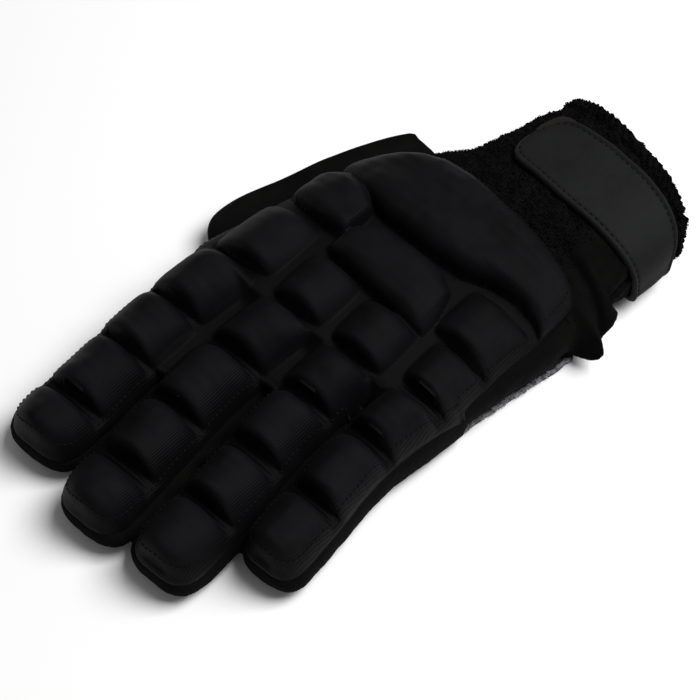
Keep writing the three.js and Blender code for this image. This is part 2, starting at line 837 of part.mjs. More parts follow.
const fingerSeam = HAND_LENGTH * FINGER_SEAM_SHARE;
const thumbSeam = HAND_LENGTH * THUMB_SEAM_SHARE;
const cuffStart = HAND_LENGTH * CUFF_START_SHARE;

const fingersOut = FINGERS.map((finger) => fingerSolid(finger, 0, FINGER_STEPS));
const fingersIn = FINGERS.map((finger) =>
  fingerSolid(finger, -FABRIC_WALL, FINGER_LINING_STEPS),
);
const thumbOut = thumbSolid(0, FINGER_STEPS);
const thumbIn = thumbSolid(-FABRIC_WALL, FINGER_LINING_STEPS);
const thumbAround = thumbSolid(CLEARANCE, FINGER_STEPS);

const webs = WEBS.map((web) => webSolid(web, 0, 0, SOLE + FABRIC_WALL));
const fingerRoots = half(join([...fingersOut, ...webs]), fingerSeam + CLEARANCE, 1);
const thumbRoot = half(thumbOut, thumbSeam + CLEARANCE, 1);
const thumbBeside = half(thumbAround, thumbSeam + CLEARANCE, -1);
const thumbLining = half(
  thumbSolid(CLEARANCE + FABRIC_WALL, FINGER_LINING_STEPS),
  thumbSeam + CLEARANCE,
  -1,
);

const handCloth = half(loft(handRings(HAND_PLACES, 0)), cuffStart, -1);
const handInside = loft(liningRings(LINING_PLACES, -FABRIC_WALL)).subtract(thumbLining);
const palmInside = join([handInside, ...fingersIn, half(thumbIn, thumbSeam, 1)]);
const palmBody = join([handCloth, fingerRoots, thumbRoot])
  .subtract(thumbBeside)
  .subtract(palmInside);

const sleeves = FINGERS.map((finger, place) => {
  const touching = WEBS.filter((web) => web.from === place || web.to === place);
  const cloth = join([fingersOut[place], ...touching.map((web) => webs[WEBS.indexOf(web)])]);
  const beyond = touching.map((web) => beyondWeb(web, web.from === place ? 1 : -1));
  return half(cloth, fingerSeam, -1).subtract(join([...beyond, ...fingersIn]));
});
const thumbSleeve = half(thumbOut, thumbSeam, -1).subtract(thumbIn);

const hemStart = 1 - HEM_DEPTH / CUFF_LENGTH;
const cuffShares = [...CUFF_PLACES, hemStart - HEM_STEP_SHARE, hemStart, 1];
const cuffOutside = loft([
  ...handRings(
    HAND_PLACES.filter((place) => place > CUFF_START_SHARE - CUFF_OVERLAP_SHARE),
    0,
  ),
  ...cuffShares.map((share) => {
    return cuffRing(share * CUFF_LENGTH, share < hemStart ? 0 : HEM_EXTRA, HAND_STEPS);
  }),
]);
const cuffInside = loft([
  ...liningRings(
    LINING_PLACES.filter((place) => place > CUFF_START_SHARE - CUFF_LINING_OVERLAP_SHARE),
    -CUFF_WALL,
  ),
  ...CUFF_LINING_PLACES.map((share) => {
    return cuffRing(share * CUFF_LENGTH, -CUFF_WALL, LINING_STEPS);
  }),
]);
const wristCuff = half(cuffOutside, cuffStart + CLEARANCE, 1)
  .subtract(cuffInside)
  .subtract(half(thumbAround, cuffStart, 1));

const panelUnder = join([
  loft(handRings(HAND_PLACES, CLEARANCE)),
  ...FINGERS.map((finger) => fingerSolid(finger, CLEARANCE, FINGER_STEPS)),
  ...WEBS.map((web) => webSolid(web, CLEARANCE, 0, SOLE + FABRIC_WALL)),
  thumbAround,
]);

// Flange of the panel over the hand
const handFlange = loft(
  FLANGE_PLACES.map((at) => {
    return sectionRing(flangeOver(handSection(at, -FLANGE_INSET)), HAND_STEPS);
  }),
);

const flangeRise = FLANGE_INSET + CLEARANCE + FLANGE_THICKNESS;
const foamBack = join([
  handFlange,
  ...FINGERS.map(fingerFlange),
  ...WEBS.map((web) => webSolid(web, -FLANGE_INSET, flangeRise, HAND_THICKNESS * WIDEST_SHARE)),
  ...BLOCKS.map((block) => paddedBlock(columnPlan(block), BLOCK_RISE, BLOCK_SHAPE)),
  paddedBlock(padPlan(INDEX_END_BLOCK), BLOCK_RISE, BLOCK_SHAPE),
  paddedBlock(padPlan(KNUCKLE_PAD), BLOCK_RISE, KNUCKLE_PAD_SHAPE),
  paddedBlock(padPlan(MAIN_PAD), MAIN_PAD_RISE, MAIN_PAD_SHAPE),
]).subtract(panelUnder);

const MATERIALS = {
  foam: { color: 0x17171c, roughness: 0.62, metalness: 0 },
  stretch: { color: 0x131314, roughness: 0.9, metalness: 0 },
  terry: { color: 0x0e0e0e, roughness: 1, metalness: 0 },
  leather: { color: 0x212122, roughness: 0.5, metalness: 0 },
  suede: { color: 0x2c2c2e, roughness: 0.85, metalness: 0 },
};

// Named mesh of one finished solid
function piece(name, solid, material) {
  const result = solid.getMesh();
  const stride = result.numProp;
  const positions = new Float32Array(result.numVert * 3);
  for (let corner = 0; corner < result.numVert; corner += 1) {
    const start = corner * stride;
    positions.set(result.vertProperties.subarray(start, start + 3), corner * 3);
  }
  const geometry = new THREE.BufferGeometry();
  geometry.setAttribute("position", new THREE.BufferAttribute(positions, 3));
  geometry.setIndex(new THREE.BufferAttribute(result.triVerts, 1));
  geometry.computeVertexNormals();
  const mesh = new THREE.Mesh(geometry, new THREE.MeshStandardMaterial(material));
  mesh.name = name;
  return mesh;
}

const glove = new THREE.Group();
glove.name = "indoor_hockey_glove";
glove.add(
  piece("foam_back", foamBack, MATERIALS.foam),
  piece("palm_body", palmBody, MATERIALS.stretch),
  ...FINGERS.map((finger, place) =>
    piece(finger.name + "_sleeve", sleeves[place], MATERIALS.stretch),
  ),
  piece("thumb_sleeve", thumbSleeve, MATERIALS.stretch),
  piece("wrist_cuff", wristCuff, MATERIALS.terry),
  piece("wrist_strap", strapSolid(), MATERIALS.leather),
  piece("palm_patch", patchSolid(), MATERIALS.suede),
);

export default glove;
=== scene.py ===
import math

import bmesh
import bpy
import numpy as np
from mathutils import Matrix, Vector


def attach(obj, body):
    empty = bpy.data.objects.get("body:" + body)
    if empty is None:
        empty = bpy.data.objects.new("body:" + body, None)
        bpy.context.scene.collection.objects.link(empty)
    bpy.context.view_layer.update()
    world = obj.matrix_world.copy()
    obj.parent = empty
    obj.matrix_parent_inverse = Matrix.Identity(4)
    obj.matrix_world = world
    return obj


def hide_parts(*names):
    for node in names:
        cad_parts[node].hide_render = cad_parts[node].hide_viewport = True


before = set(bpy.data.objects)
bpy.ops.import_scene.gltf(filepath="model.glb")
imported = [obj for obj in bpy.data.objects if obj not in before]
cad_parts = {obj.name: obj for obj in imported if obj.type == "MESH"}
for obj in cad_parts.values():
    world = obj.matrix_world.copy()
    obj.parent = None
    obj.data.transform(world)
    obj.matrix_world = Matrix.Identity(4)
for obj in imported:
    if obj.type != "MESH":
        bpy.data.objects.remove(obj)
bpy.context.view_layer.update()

MM = 0.001

# Named sizes
HAND_WIDTH = 114.0
HAND_LENGTH = 84.0
HAND_THICKNESS = 26.0
FINGER_THICKNESS = 14.0
FABRIC_WALL = 1.5
THUMB_LENGTH = 78.0
THUMB_WIDTH = 26.0
THUMB_THICKNESS = 13.2
THUMB_BASE_PLACE = 1.02
WRIST_WIDTH = 77.0
WRIST_THICKNESS = 30.0
WRIST_LIFT = 1.2
WRIST_TURN = math.radians(13)
CUFF_LENGTH = 45.5
CUFF_WALL = 2.4
HEM_DEPTH = 5.0
HEM_EXTRA = 1.0
RIM_SLANT = 6.0
RIM_NARROWING = 0.09
RIM_CREST = 1.6
SIDE_NARROWING = 0.06
RIM_CREST_TURN = math.radians(35)
STRAP_WIDTH = 31.0
STRAP_THICKNESS = 2.0
STRAP_START = 5.0
FLANGE = 2.0
FLANGE_INSET = 0.6
BLOCK_RISE = 8.0
MAIN_PAD_RISE = 9.5
PATCH_THICKNESS = 1.2
CLEARANCE = 0.3
ROOT_START = -0.1
SMALLEST = 0.1
CURVE_STEPS = 25
SOLE = PATCH_THICKNESS + CLEARANCE
TOP_FULL = 2.5
BOTTOM_FULL = 3.4
TIP_FULL = 2.8
WIDEST = 0.42

HAND = {
    "at": [ROOT_START, 0, 0.18, 0.36, 0.55, 0.69, 0.81, 0.9, 1],
    "centre": [-0.127, -0.118, -0.092, -0.066, -0.035, -0.015, 0.02, 0.06, 0.107],
    "half": [0.483, 0.499, 0.49, 0.48, 0.475, 0.472, 0.46, 0.44, 0.38],
    "wrist": [0, 0, 0, 0, 0.02, 0.12, 0.4, 0.75, 1],
    "top": [0.92, 0.955, 0.985, 1, 1, 0.99, 0.98, 0.98, 1],
}
# Folds at the little-finger side: place along the hand, depth, spread towards the
# fingers and spread towards the wrist, all in millimetres
FOLDS = [(60.5, 12.2, 2.8, 8), (75, 8.3, 8, 10)]
FOLD_LEAN = 8.0
FOLD_LEVEL = 0.6
FOLD_FADE = 1.2
COLUMN_PLACES = [ROOT_START, 0.35, 0.65, 1.0]
# index, middle, ring and little finger: reach, column places and widths as shares of the hand
FINGERS = [
    dict(reach=97.5, x=[-0.438, -0.497, -0.496, -0.493], width=0.262),
    dict(reach=107.0, x=[-0.18, -0.237, -0.228, -0.206], width=0.258),
    dict(reach=105.0, x=[0.057, 0.031, 0.053, 0.066], width=0.243),
    dict(reach=80.5, x=[0.29, 0.259, 0.272, 0.289], width=0.216),
]
FINGER_PROFILE = {
    "at": [ROOT_START, 0.08, 0.3, 0.55, 0.8, 1],
    "width": [1.02, 1.03, 0.96, 0.97, 1, 1],
    "blend": [0.6, 0.14, 0.45, 0.7, 0.9, 1],
}
# webs: two neighbouring fingers and how far along them the cloth joins them
WEBS = [(0, 1, 0.5), (1, 2, 0.28), (2, 3, 0.1)]
# finger, near end, far end (shares of the reach), sideways shift, half width (shares of the width)
BLOCKS = [
    (0, 0.815, 0.975, 0, 0.41),
    (0, 0.545, 0.755, 0, 0.38),
    (0, 0.31, 0.5, 0, 0.38),
    (0, 0.045, 0.262, 0, 0.38),
    (0, -0.255, -0.005, 0.02, 0.39),
    (1, 0.815, 0.975, 0, 0.41),
    (1, 0.56, 0.75, 0, 0.38),
    (1, 0.3, 0.515, 0, 0.38),
    (1, 0.072, 0.25, 0, 0.38),
    (1, -0.15, 0.03, 0, 0.34),
    (2, 0.765, 0.97, 0, 0.41),
    (2, 0.54, 0.715, 0, 0.39),
    (2, 0.285, 0.475, 0, 0.39),
    (2, 0.08, 0.235, 0, 0.39),
    (2, -0.135, 0.035, 0, 0.37),
    (3, 0.69, 0.965, 0, 0.41),
    (3, 0.35, 0.62, 0.04, 0.4),
    (3, 0.075, 0.275, 0.06, 0.4),
    (3, -0.215, -0.01, 0.03, 0.38),
    (3, -0.51, -0.265, -0.05, 0.46),
]
INDEX_END_BLOCK = {
    "x": [-0.515, -0.48, -0.4, -0.32, -0.255, -0.24],
    "low": [0.41, 0.38, 0.35, 0.335, 0.33, 0.36],
    "high": [0.51, 0.58, 0.62, 0.585, 0.53, 0.47],
}
KNUCKLE_PAD = {
    "x": [-0.265, -0.235, -0.16, -0.05, 0.07, 0.13, 0.165],
    "low": [0.26, 0.235, 0.225, 0.2, 0.18, 0.18, 0.195],
    "high": [0.3, 0.42, 0.475, 0.475, 0.46, 0.41, 0.26],
}
MAIN_PAD = {
    "x": [-0.462, -0.44, -0.375, -0.29, -0.2, -0.1, 0.03, 0.12, 0.2, 0.3, 0.37, 0.41, 0.425],
    "low": [0.645, 0.615, 0.585, 0.55, 0.515, 0.505, 0.5, 0.505, 0.55, 0.57, 0.555, 0.53, 0.54],
    "high": [0.73, 0.79, 0.85, 0.895, 0.91, 0.905, 0.88, 0.865, 0.845, 0.815, 0.785, 0.74, 0.66],
}
THUMB = {
    "at": [0, 0.14, 0.4, 0.6, 0.8, 1],
    "x": [-0.345, -0.395, -0.478, -0.532, -0.578, -0.59],
    "width": [0.82, 0.94, 1, 1.02, 1.03, 1],
    "blend": [0.75, 0.7, 0.8, 1, 1, 1],
}
CUFF_PLACE = 0.74
STRAP = {
    "turn": [124, 122, 118, 111, 99, 85, 70, 52, 36, 20, 0, -25, -50],
    "low": [0.3, 0.14, 0.03, -0.01, 0.01, 0.05, 0.11, 0.16, 0.2, 0.23, 0.26, 0.28, 0.3],
    "high": [0.62, 0.78, 0.87, 0.93, 0.98, 1.04, 1.08, 1.1, 1.1, 1.08, 1.06, 1.02, 1],
}
PATCH = {
    "x": [-0.4, -0.1, 0.22, 0.34, 0.362, 0.386, 0.408, 0.431, 0.4, 0.1, -0.2, -0.36],
    "y": [-0.04, -0.08, -0.08, 0, 0.12, 0.32, 0.48, 0.64, 0.74, 0.8, 0.76, 0.6],
}


# Curves and sections
def curve(places, values):
    """Smooth function through a short table."""
    places = np.asarray(places, float)
    values = np.asarray(values, float)
    last = len(places) - 1
    dense_at, dense_value = [], []
    for row in range(last):
        width = places[row + 1] - places[row]
        low, high = max(row - 1, 0), min(row + 2, last)
        before = (values[row + 1] - values[low]) / (places[row + 1] - places[low]) * width
        after = (values[high] - values[row]) / (places[high] - places[row]) * width
        s = np.linspace(0, 1, CURVE_STEPS)
        value = (
            values[row] * (2 * s**3 - 3 * s**2 + 1)
            + before * (s**3 - 2 * s**2 + s)
            + values[row + 1] * (3 * s**2 - 2 * s**3)
            + after * (s**3 - s**2)
        )
        dense_at.append(places[row] + s * width)
        dense_value.append(value)
    dense_at = np.concatenate(dense_at)
    dense_value = np.concatenate(dense_value)
    return lambda at: np.interp(at, dense_at, dense_value)


HAND_C = {key: curve(HAND["at"], HAND[key]) for key in ("centre", "half", "wrist", "top")}
PROFILE_C = {key: curve(FINGER_PROFILE["at"], FINGER_PROFILE[key]) for key in ("width", "blend")}
THUMB_C = {key: curve(THUMB["at"], THUMB[key]) for key in ("x", "width", "blend")}
for finger in FINGERS:
    finger["centre"] = curve(COLUMN_PLACES, finger["x"])


def mix(a, b, share):
    return a + (b - a) * share


def smooth_max(values, softness):
    """Largest of several arrays, with the creases between them rounded."""
    peak = values[0]
    for value in values[1:]:
        h = np.clip(0.5 + 0.5 * (peak - value) / softness, 0, 1)
        peak = mix(value, peak, h) + softness * h * (1 - h)
    return peak


def smooth_min(values, softness):
    return -smooth_max([-v for v in values], softness)


def signed_power(value, power):
    return np.sign(value) * np.abs(value) ** power


def end_round(left, length):
    share = np.clip(1 - left / length, 0, 1)
    return np.maximum(1 - share**TIP_FULL, 0) ** (1 / TIP_FULL)


def hand_section(at, grow):
    wrist = HAND_C["wrist"](at)
    wide = HAND_WIDTH * HAND_C["half"](at)
    thickness = mix(HAND_THICKNESS, WRIST_THICKNESS, wrist) * HAND_C["top"](at)
    lift = WRIST_LIFT * wrist
    return dict(
        x=HAND_WIDTH * HAND_C["centre"](at),
        y=HAND_LENGTH * at,
        turn=WRIST_TURN * wrist,
        half=mix(wide, WRIST_WIDTH / 2, wrist) + grow,
        bottom=SOLE + lift - grow,
        top=SOLE + lift + thickness + grow,
    )


def finger_section(finger, at, grow, end):
    root_top = HAND_THICKNESS * HAND["top"][0]
    width = HAND_WIDTH * finger["width"] * PROFILE_C["width"](at)
    roundness = end_round((end - at) * finger["reach"], width / 2)
    thickness = mix(root_top, FINGER_THICKNESS, PROFILE_C["blend"](at))
    middle = SOLE + thickness * WIDEST
    soft = np.sqrt(roundness)
    return dict(
        x=HAND_WIDTH * finger["centre"](at),
        y=-finger["reach"] * at,
        turn=0 * at,
        half=(width / 2 + grow) * roundness,
        bottom=mix(middle, SOLE - grow, soft),
        top=mix(middle, SOLE + thickness + grow, soft),
    )


def section_ring(section, steps, bulge=None):
    """Points of one section, counted from the little-finger side over the top."""
    turn = 2 * math.pi * np.arange(steps) / steps
    upper = np.sin(turn) >= 0
    power = np.where(upper, 2 / TOP_FULL, 2 / BOTTOM_FULL)
    widest = mix(section["bottom"], section["top"], WIDEST)
    sideways = section["half"] * signed_power(np.cos(turn), power)
    span = np.where(upper, section["top"] - widest, widest - section["bottom"])
    height = widest + signed_power(np.sin(turn), power) * span
    if bulge is not None:
        sideways = sideways + bulge(np.cos(turn), np.sin(turn))
    c, s = math.cos(section["turn"]), math.sin(section["turn"])
    return np.stack([section["x"] + c * sideways, section["y"] - s * sideways, height], -1)


def fold_bulge(at):
    """How far the loose folds push a section of cloth out, by its place around."""

    def bulge(side, height):
        place = at * HAND_LENGTH - FOLD_LEAN * (height + FOLD_LEVEL)
        total = 0 * side
        for centre, depth, before, after in FOLDS:
            away = place - centre
            spread = np.where(away < 0, before, after)
            total = total + depth * np.exp(-((away / spread) ** 2))
        drop = np.maximum(1 - np.maximum(height, 0) * FOLD_FADE, 0)
        return np.maximum(total, 0) * np.maximum(side, 0) ** 2 * drop

    return bulge


def top_of(section, x):
    share = np.minimum(np.abs(x - section["x"]) / np.maximum(section["half"], 1), 1)
    widest = mix(section["bottom"], section["top"], WIDEST)
    return widest + (section["top"] - widest) * (1 - share**TOP_FULL) ** (1 / TOP_FULL)


# Mesh helpers
def new_object(name, points, faces, material):
    """Smooth-shaded object from points in millimetres."""
    mesh = bpy.data.meshes.new(name)
    mesh.from_pydata((np.asarray(points, float) * MM).tolist(), [], faces)
    mesh.validate()
    made = bpy.data.objects.new(name, mesh)
    bpy.context.collection.objects.link(made)
    mesh.polygons.foreach_set("use_smooth", [True] * len(mesh.polygons))
    mesh.materials.append(material)
    return made


def ring_faces(rings, steps, close=True):
    """Quads between rings of points laid one after another."""
    ring = np.arange(rings - 1)[:, None] * steps
    step = np.arange(steps if close else steps - 1)[None, :]
    after = (step + 1) % steps
    quads = np.stack([ring + step, ring + after, ring + steps + after, ring + steps + step], -1)
    return quads.reshape(-1, 4).tolist()


def tube_mesh(rings):
    """Closed tube of points and faces from a list of rings."""
    steps = len(rings[0])
    points = np.concatenate(rings + [rings[0].mean(0)[None], rings[-1].mean(0)[None]])
    faces = ring_faces(len(rings), steps)
    first, last = len(points) - 2, len(points) - 1
    base = (len(rings) - 1) * steps
    for step in range(steps):
        after = (step + 1) % steps
        faces.append([after, step, first])
        faces.append([base + step, base + after, last])
    return points, faces


def joined(parts):
    """One point list and face list from several."""
    points, faces, start = [], [], 0
    for part_points, part_faces in parts:
        points.append(np.asarray(part_points, float))
        faces.extend([[index + start for index in face] for face in part_faces])
        start += len(part_points)
    return np.concatenate(points), faces


def fix_normals(made):
    work = bmesh.new()
    work.from_mesh(made.data)
    bmesh.ops.recalc_face_normals(work, faces=work.faces)
    work.to_mesh(made.data)
    work.free()
    made.data.update()


def apply_modifiers(made):
    depsgraph = bpy.context.evaluated_depsgraph_get()
    result = bpy.data.meshes.new_from_object(made.evaluated_get(depsgraph))
    old = made.data
    made.modifiers.clear()
    made.data = result
    bpy.data.meshes.remove(old)


def coordinates(made):
    values = np.empty(len(made.data.vertices) * 3)
    made.data.vertices.foreach_get("co", values)
    return values.reshape(-1, 3) / MM


def set_coordinates(made, points):
    made.data.vertices.foreach_set("co", (np.asarray(points) * MM).ravel())
    made.data.update()


def frames_on(tangents, normals):
    """Right-handed axes from rough tangents and normals."""
    along = tangents / np.linalg.norm(tangents, axis=1, keepdims=True)
    up = normals - (normals * along).sum(1, keepdims=True) * along
    up = up / np.maximum(np.linalg.norm(up, axis=1, keepdims=True), 1e-9)
    return along, np.cross(up, along), up


def scattered(shape_points, shape_faces, origins, frames, scales):
    """Copies of one small shape; its x, y and z lie along each frame's axes."""
    along, side, up = frames
    shape = shape_points[None, :, :] * scales[:, None, :]
    points = (
        origins[:, None, :]
        + shape[:, :, :1] * along[:, None, :]
        + shape[:, :, 1:2] * side[:, None, :]
        + shape[:, :, 2:] * up[:, None, :]
    )
    starts = np.arange(len(origins))[:, None, None] * len(shape_points)
    faces = shape_faces[None, :, :] + starts
    return points.reshape(-1, 3), faces.reshape(-1, shape_faces.shape[1]).tolist()


def stitch_shape():
    """One stitch: a small bowed thread, a unit long, thick and high."""
    profile = [(-0.5, 0.5, -0.6), (-0.35, 1, 0.1), (0, 1, 0.35), (0.35, 1, 0.1), (0.5, 0.5, -0.6)]
    sides = 6
    turn = 2 * math.pi * np.arange(sides) / sides
    rings = []
    for x, radius, lift in profile:
        ring = [np.full(sides, x), 0.5 * radius * np.cos(turn), lift + 0.5 * radius * np.sin(turn)]
        rings.append(np.stack(ring, -1))
    return np.concatenate(rings), np.array(ring_faces(len(profile), sides))


def loop_shape():
    """One pile loop: a bent ribbon, a unit long, wide and high."""
    profile = [(-0.5, -0.2), (-0.45, 0.55), (0, 1), (0.45, 0.55), (0.5, -0.2)]
    points = [(x, side, z) for x, z in profile for side in (-0.5, 0.5)]
    faces = [[2 * k, 2 * k + 1, 2 * k + 3, 2 * k + 2] for k in range(len(profile) - 1)]
    return np.array(points), np.array(faces)


def evenly(points, spacing, closed):
    """Places at equal steps along a line of points."""
    if closed:
        points = np.concatenate([points, points[:1]])
    lengths = np.linalg.norm(np.diff(points, axis=0), axis=1)
    along = np.concatenate([[0], np.cumsum(lengths)])
    count = max(int(along[-1] / spacing), 2)
    places = (np.arange(count) + 0.5) * along[-1] / count
    return np.stack([np.interp(places, along, points[:, k]) for k in range(3)], -1)


def line_tangents(points, closed):
    if closed:
        return np.roll(points, -1, 0) - np.roll(points, 1, 0)
    return np.gradient(points, axis=0)


NOISE_WAVES = 9
NOISE_GAIN = 1.6


def noise_field(points, scale, seed):
    """Smooth repeatable noise from -1 to 1, from a sum of turned waves."""
    random = np.random.default_rng(seed)
    total = np.zeros(len(points))
    for _ in range(NOISE_WAVES):
        direction = random.normal(size=3)
        direction /= np.linalg.norm(direction)
        frequency = 2 * math.pi / scale * random.uniform(0.6, 1.5)
        total += np.sin(points @ direction * frequency + random.uniform(0, 2 * math.pi))
    return total / NOISE_WAVES * NOISE_GAIN


# Materials
# painted shade: how much darker the panel cloth's colour is made in the low places between the blocks,
# where shade falls
PAINTED_HOLLOW_SHADE = 0.28
# period of a wave texture of scale 1
WAVE_PERIOD = 0.314
CROSS_SHARE = 0.8
SLUB_SCALE = 1400
GRAIN_SCALE = 1500


def material(name, colour, roughness):
    made = bpy.data.materials.new(name)
    made.use_nodes = True
    shader = made.node_tree.nodes["Principled BSDF"]
    shader.inputs["Base Color"].default_value = (*colour, 1)
    shader.inputs["Roughness"].default_value = roughness
    return made, made.node_tree.nodes, made.node_tree.links, shader


def object_space(nodes):
    return nodes.new("ShaderNodeTexCoord").outputs["Object"]


def wave(nodes, links, vector, scale, direction, distortion):
    made = nodes.new("ShaderNodeTexWave")
    made.bands_direction = direction
    made.inputs["Scale"].default_value = scale
    made.inputs["Distortion"].default_value = distortion
    made.inputs["Detail Scale"].default_value = 2.0
    links.new(vector, made.inputs["Vector"])
    return made.outputs["Fac"]


def noise(nodes, links, vector, scale, detail=4.0):
    made = nodes.new("ShaderNodeTexNoise")
    made.inputs["Scale"].default_value = scale
    made.inputs["Detail"].default_value = detail
    made.inputs["Roughness"].default_value = 0.6
    links.new(vector, made.inputs["Vector"])
    return made.outputs["Fac"]


def combined(nodes, links, first, second, operation):
    made = nodes.new("ShaderNodeMath")
    made.operation = operation
    links.new(first, made.inputs[0])
    links.new(second, made.inputs[1])
    return made.outputs[0]


def ramp(nodes, links, factor, low, high):
    made = nodes.new("ShaderNodeValToRGB")
    made.color_ramp.elements[0].position = 0.3
    made.color_ramp.elements[1].position = 0.7
    made.color_ramp.elements[0].color = (*low, 1)
    made.color_ramp.elements[1].color = (*high, 1)
    links.new(factor, made.inputs["Fac"])
    return made.outputs["Color"]


def level(nodes, links, factor, low, high):
    made = nodes.new("ShaderNodeMapRange")
    made.inputs["To Min"].default_value = low
    made.inputs["To Max"].default_value = high
    links.new(factor, made.inputs["Value"])
    return made.outputs["Result"]


def bump(nodes, links, height, distance, before=None):
    made = nodes.new("ShaderNodeBump")
    made.inputs["Distance"].default_value = distance
    made.inputs["Strength"].default_value = 1.0
    links.new(height, made.inputs["Height"])
    if before is not None:
        links.new(before, made.inputs["Normal"])
    return made.outputs["Normal"]


def fabric(name, low, high, roughness, gloss, sheen, rib, rib_depth, weave_depth, patch_scale, sheet=False):
    """Cloth with ribs, a cross weave, slubs and worn patches.

    The lengths are metres; on a sheet the ribs follow its own weave, and painted shade darkens the low
    places between its raised blocks.
    """
    made, nodes, links, shader = material(name, low, roughness[0])
    vector = object_space(nodes)
    laid = nodes.new("ShaderNodeUVMap").outputs["UV"] if sheet else vector
    ribs = wave(nodes, links, laid, WAVE_PERIOD / rib, "X", 0.35)
    cross = wave(nodes, links, laid, WAVE_PERIOD / (rib * CROSS_SHARE), "Y", 0.5)
    patches = noise(nodes, links, vector, patch_scale)
    slubs = noise(nodes, links, vector, SLUB_SCALE, 2.0)
    shade = patches
    if sheet:
        # painted shade: the panel's low places between the blocks get a darker colour
        hollow_shade = nodes.new("ShaderNodeAttribute")
        hollow_shade.attribute_name = "hollow_shade"
        lowered = level(nodes, links, hollow_shade.outputs["Fac"], 0.0, PAINTED_HOLLOW_SHADE)
        shade = combined(nodes, links, patches, lowered, "SUBTRACT")
    links.new(ramp(nodes, links, shade, low, high), shader.inputs["Base Color"])
    links.new(level(nodes, links, patches, *roughness), shader.inputs["Roughness"])
    first = bump(nodes, links, combined(nodes, links, ribs, cross, "MULTIPLY"), weave_depth)
    second = bump(nodes, links, ribs, rib_depth, first)
    links.new(bump(nodes, links, slubs, weave_depth, second), shader.inputs["Normal"])
    shader.inputs["Specular IOR Level"].default_value = gloss
    shader.inputs["Sheen Weight"].default_value = sheen
    shader.inputs["Sheen Roughness"].default_value = 0.5
    return made


foam_mat = fabric(
    "foam_cloth",
    low=(0.0017, 0.0017, 0.0021),
    high=(0.004, 0.004, 0.005),
    roughness=(0.48, 0.64),
    gloss=0.05,
    sheen=0.004,
    rib=0.00062,
    rib_depth=0.00006,
    weave_depth=0.00005,
    patch_scale=45,
    sheet=True,
)
stretch_mat = fabric(
    "stretch_cloth",
    low=(0.0022, 0.0022, 0.0021),
    high=(0.0042, 0.0042, 0.004),
    roughness=(0.8, 0.95),
    gloss=0.02,
    sheen=0.004,
    rib=0.0006,
    rib_depth=0.00005,
    weave_depth=0.00008,
    patch_scale=60,
)
knit_mat = fabric(
    "terry_knit",
    low=(0.002, 0.002, 0.002),
    high=(0.0048, 0.0048, 0.0047),
    roughness=(0.9, 1.0),
    gloss=0.02,
    sheen=0.003,
    rib=0.0012,
    rib_depth=0.00006,
    weave_depth=0.00025,
    patch_scale=160,
)
suede_mat = fabric(
    "palm_suede",
    low=(0.012, 0.012, 0.0125),
    high=(0.02, 0.02, 0.021),
    roughness=(0.8, 0.95),
    gloss=0.1,
    sheen=0.06,
    rib=0.0008,
    rib_depth=0.00003,
    weave_depth=0.00005,
    patch_scale=120,
)
thread_mat = fabric(
    "thread",
    low=(0.002, 0.002, 0.002),
    high=(0.004, 0.004, 0.004),
    roughness=(0.6, 0.8),
    gloss=0.1,
    sheen=0.0,
    rib=0.0003,
    rib_depth=0.00005,
    weave_depth=0.00005,
    patch_scale=200,
)
fray_mat = fabric(
    "frayed_edge",
    low=(0.01, 0.01, 0.011),
    high=(0.34, 0.34, 0.36),
    roughness=(0.6, 0.8),
    gloss=0.3,
    sheen=0.05,
    rib=0.0004,
    rib_depth=0.00005,
    weave_depth=0.00005,
    patch_scale=420,
)


def leather(name, low, high, roughness, gloss):
    """Smooth synthetic leather: fine pebble grain, soft creases and rubbed patches."""
    made, nodes, links, shader = material(name, low, roughness[0])
    vector = object_space(nodes)
    grain = nodes.new("ShaderNodeTexVoronoi")
    grain.feature = "SMOOTH_F1"
    grain.inputs["Scale"].default_value = GRAIN_SCALE
    links.new(vector, grain.inputs["Vector"])
    patches = noise(nodes, links, vector, 70, 5.0)
    creases = noise(nodes, links, vector, 260, 3.0)
    links.new(ramp(nodes, links, patches, low, high), shader.inputs["Base Color"])
    links.new(level(nodes, links, patches, *roughness), shader.inputs["Roughness"])
    first = bump(nodes, links, grain.outputs["Distance"], 0.00006)
    links.new(bump(nodes, links, creases, 0.0002, first), shader.inputs["Normal"])
    shader.inputs["Specular IOR Level"].default_value = gloss
    return made


tab_mat = leather(
    "tab_backing",
    low=(0.0125, 0.0105, 0.0095),
    high=(0.0165, 0.0138, 0.0122),
    roughness=(0.7, 0.85),
    gloss=0.05,
)
strap_mat = leather(
    "strap_leather",
    low=(0.008, 0.0082, 0.0083),
    high=(0.0112, 0.0114, 0.0115),
    roughness=(0.56, 0.7),
    gloss=0.05,
)


# Foam panel
BLOCK_SPREAD = 1.0
SIDE_SPREAD = 1.16
SIDE_INSET = 3.2
INDEX_SIDE = 1.0
WELD_RISE = 1.1
WELD_WIDTH = 0.6
GROOVE_DEPTH = 1.3
TIP_BORDER = 1.2
TIP_DOME = 5.0
SEAM_INSET = 1.9
SEAM_DEPTH = 0.35
SEAM_WIDTH = 0.5
SEAM_RISE = 2
# where the hand's cloth gives way to the fingers', and how steeply each falls away past it
HAND_END = -7
HAND_FALL = 1.1
FINGER_START = 4
FINGER_FALL = 1.5
WEB_TOP = 0.72
WEB_HALF = 3
WEB_SIDE_FALL = 2
WEB_END_FALL = 6
BASE_BLEND = 2.0
FIELD_OVERLAP = 8
PAD_BORDER = 0.6
SIDE_INSET_START = 5
SIDE_INSET_LENGTH = 45
OUTLINE_CORNER = 4.0
OUTLINE_BLEND = 1.2
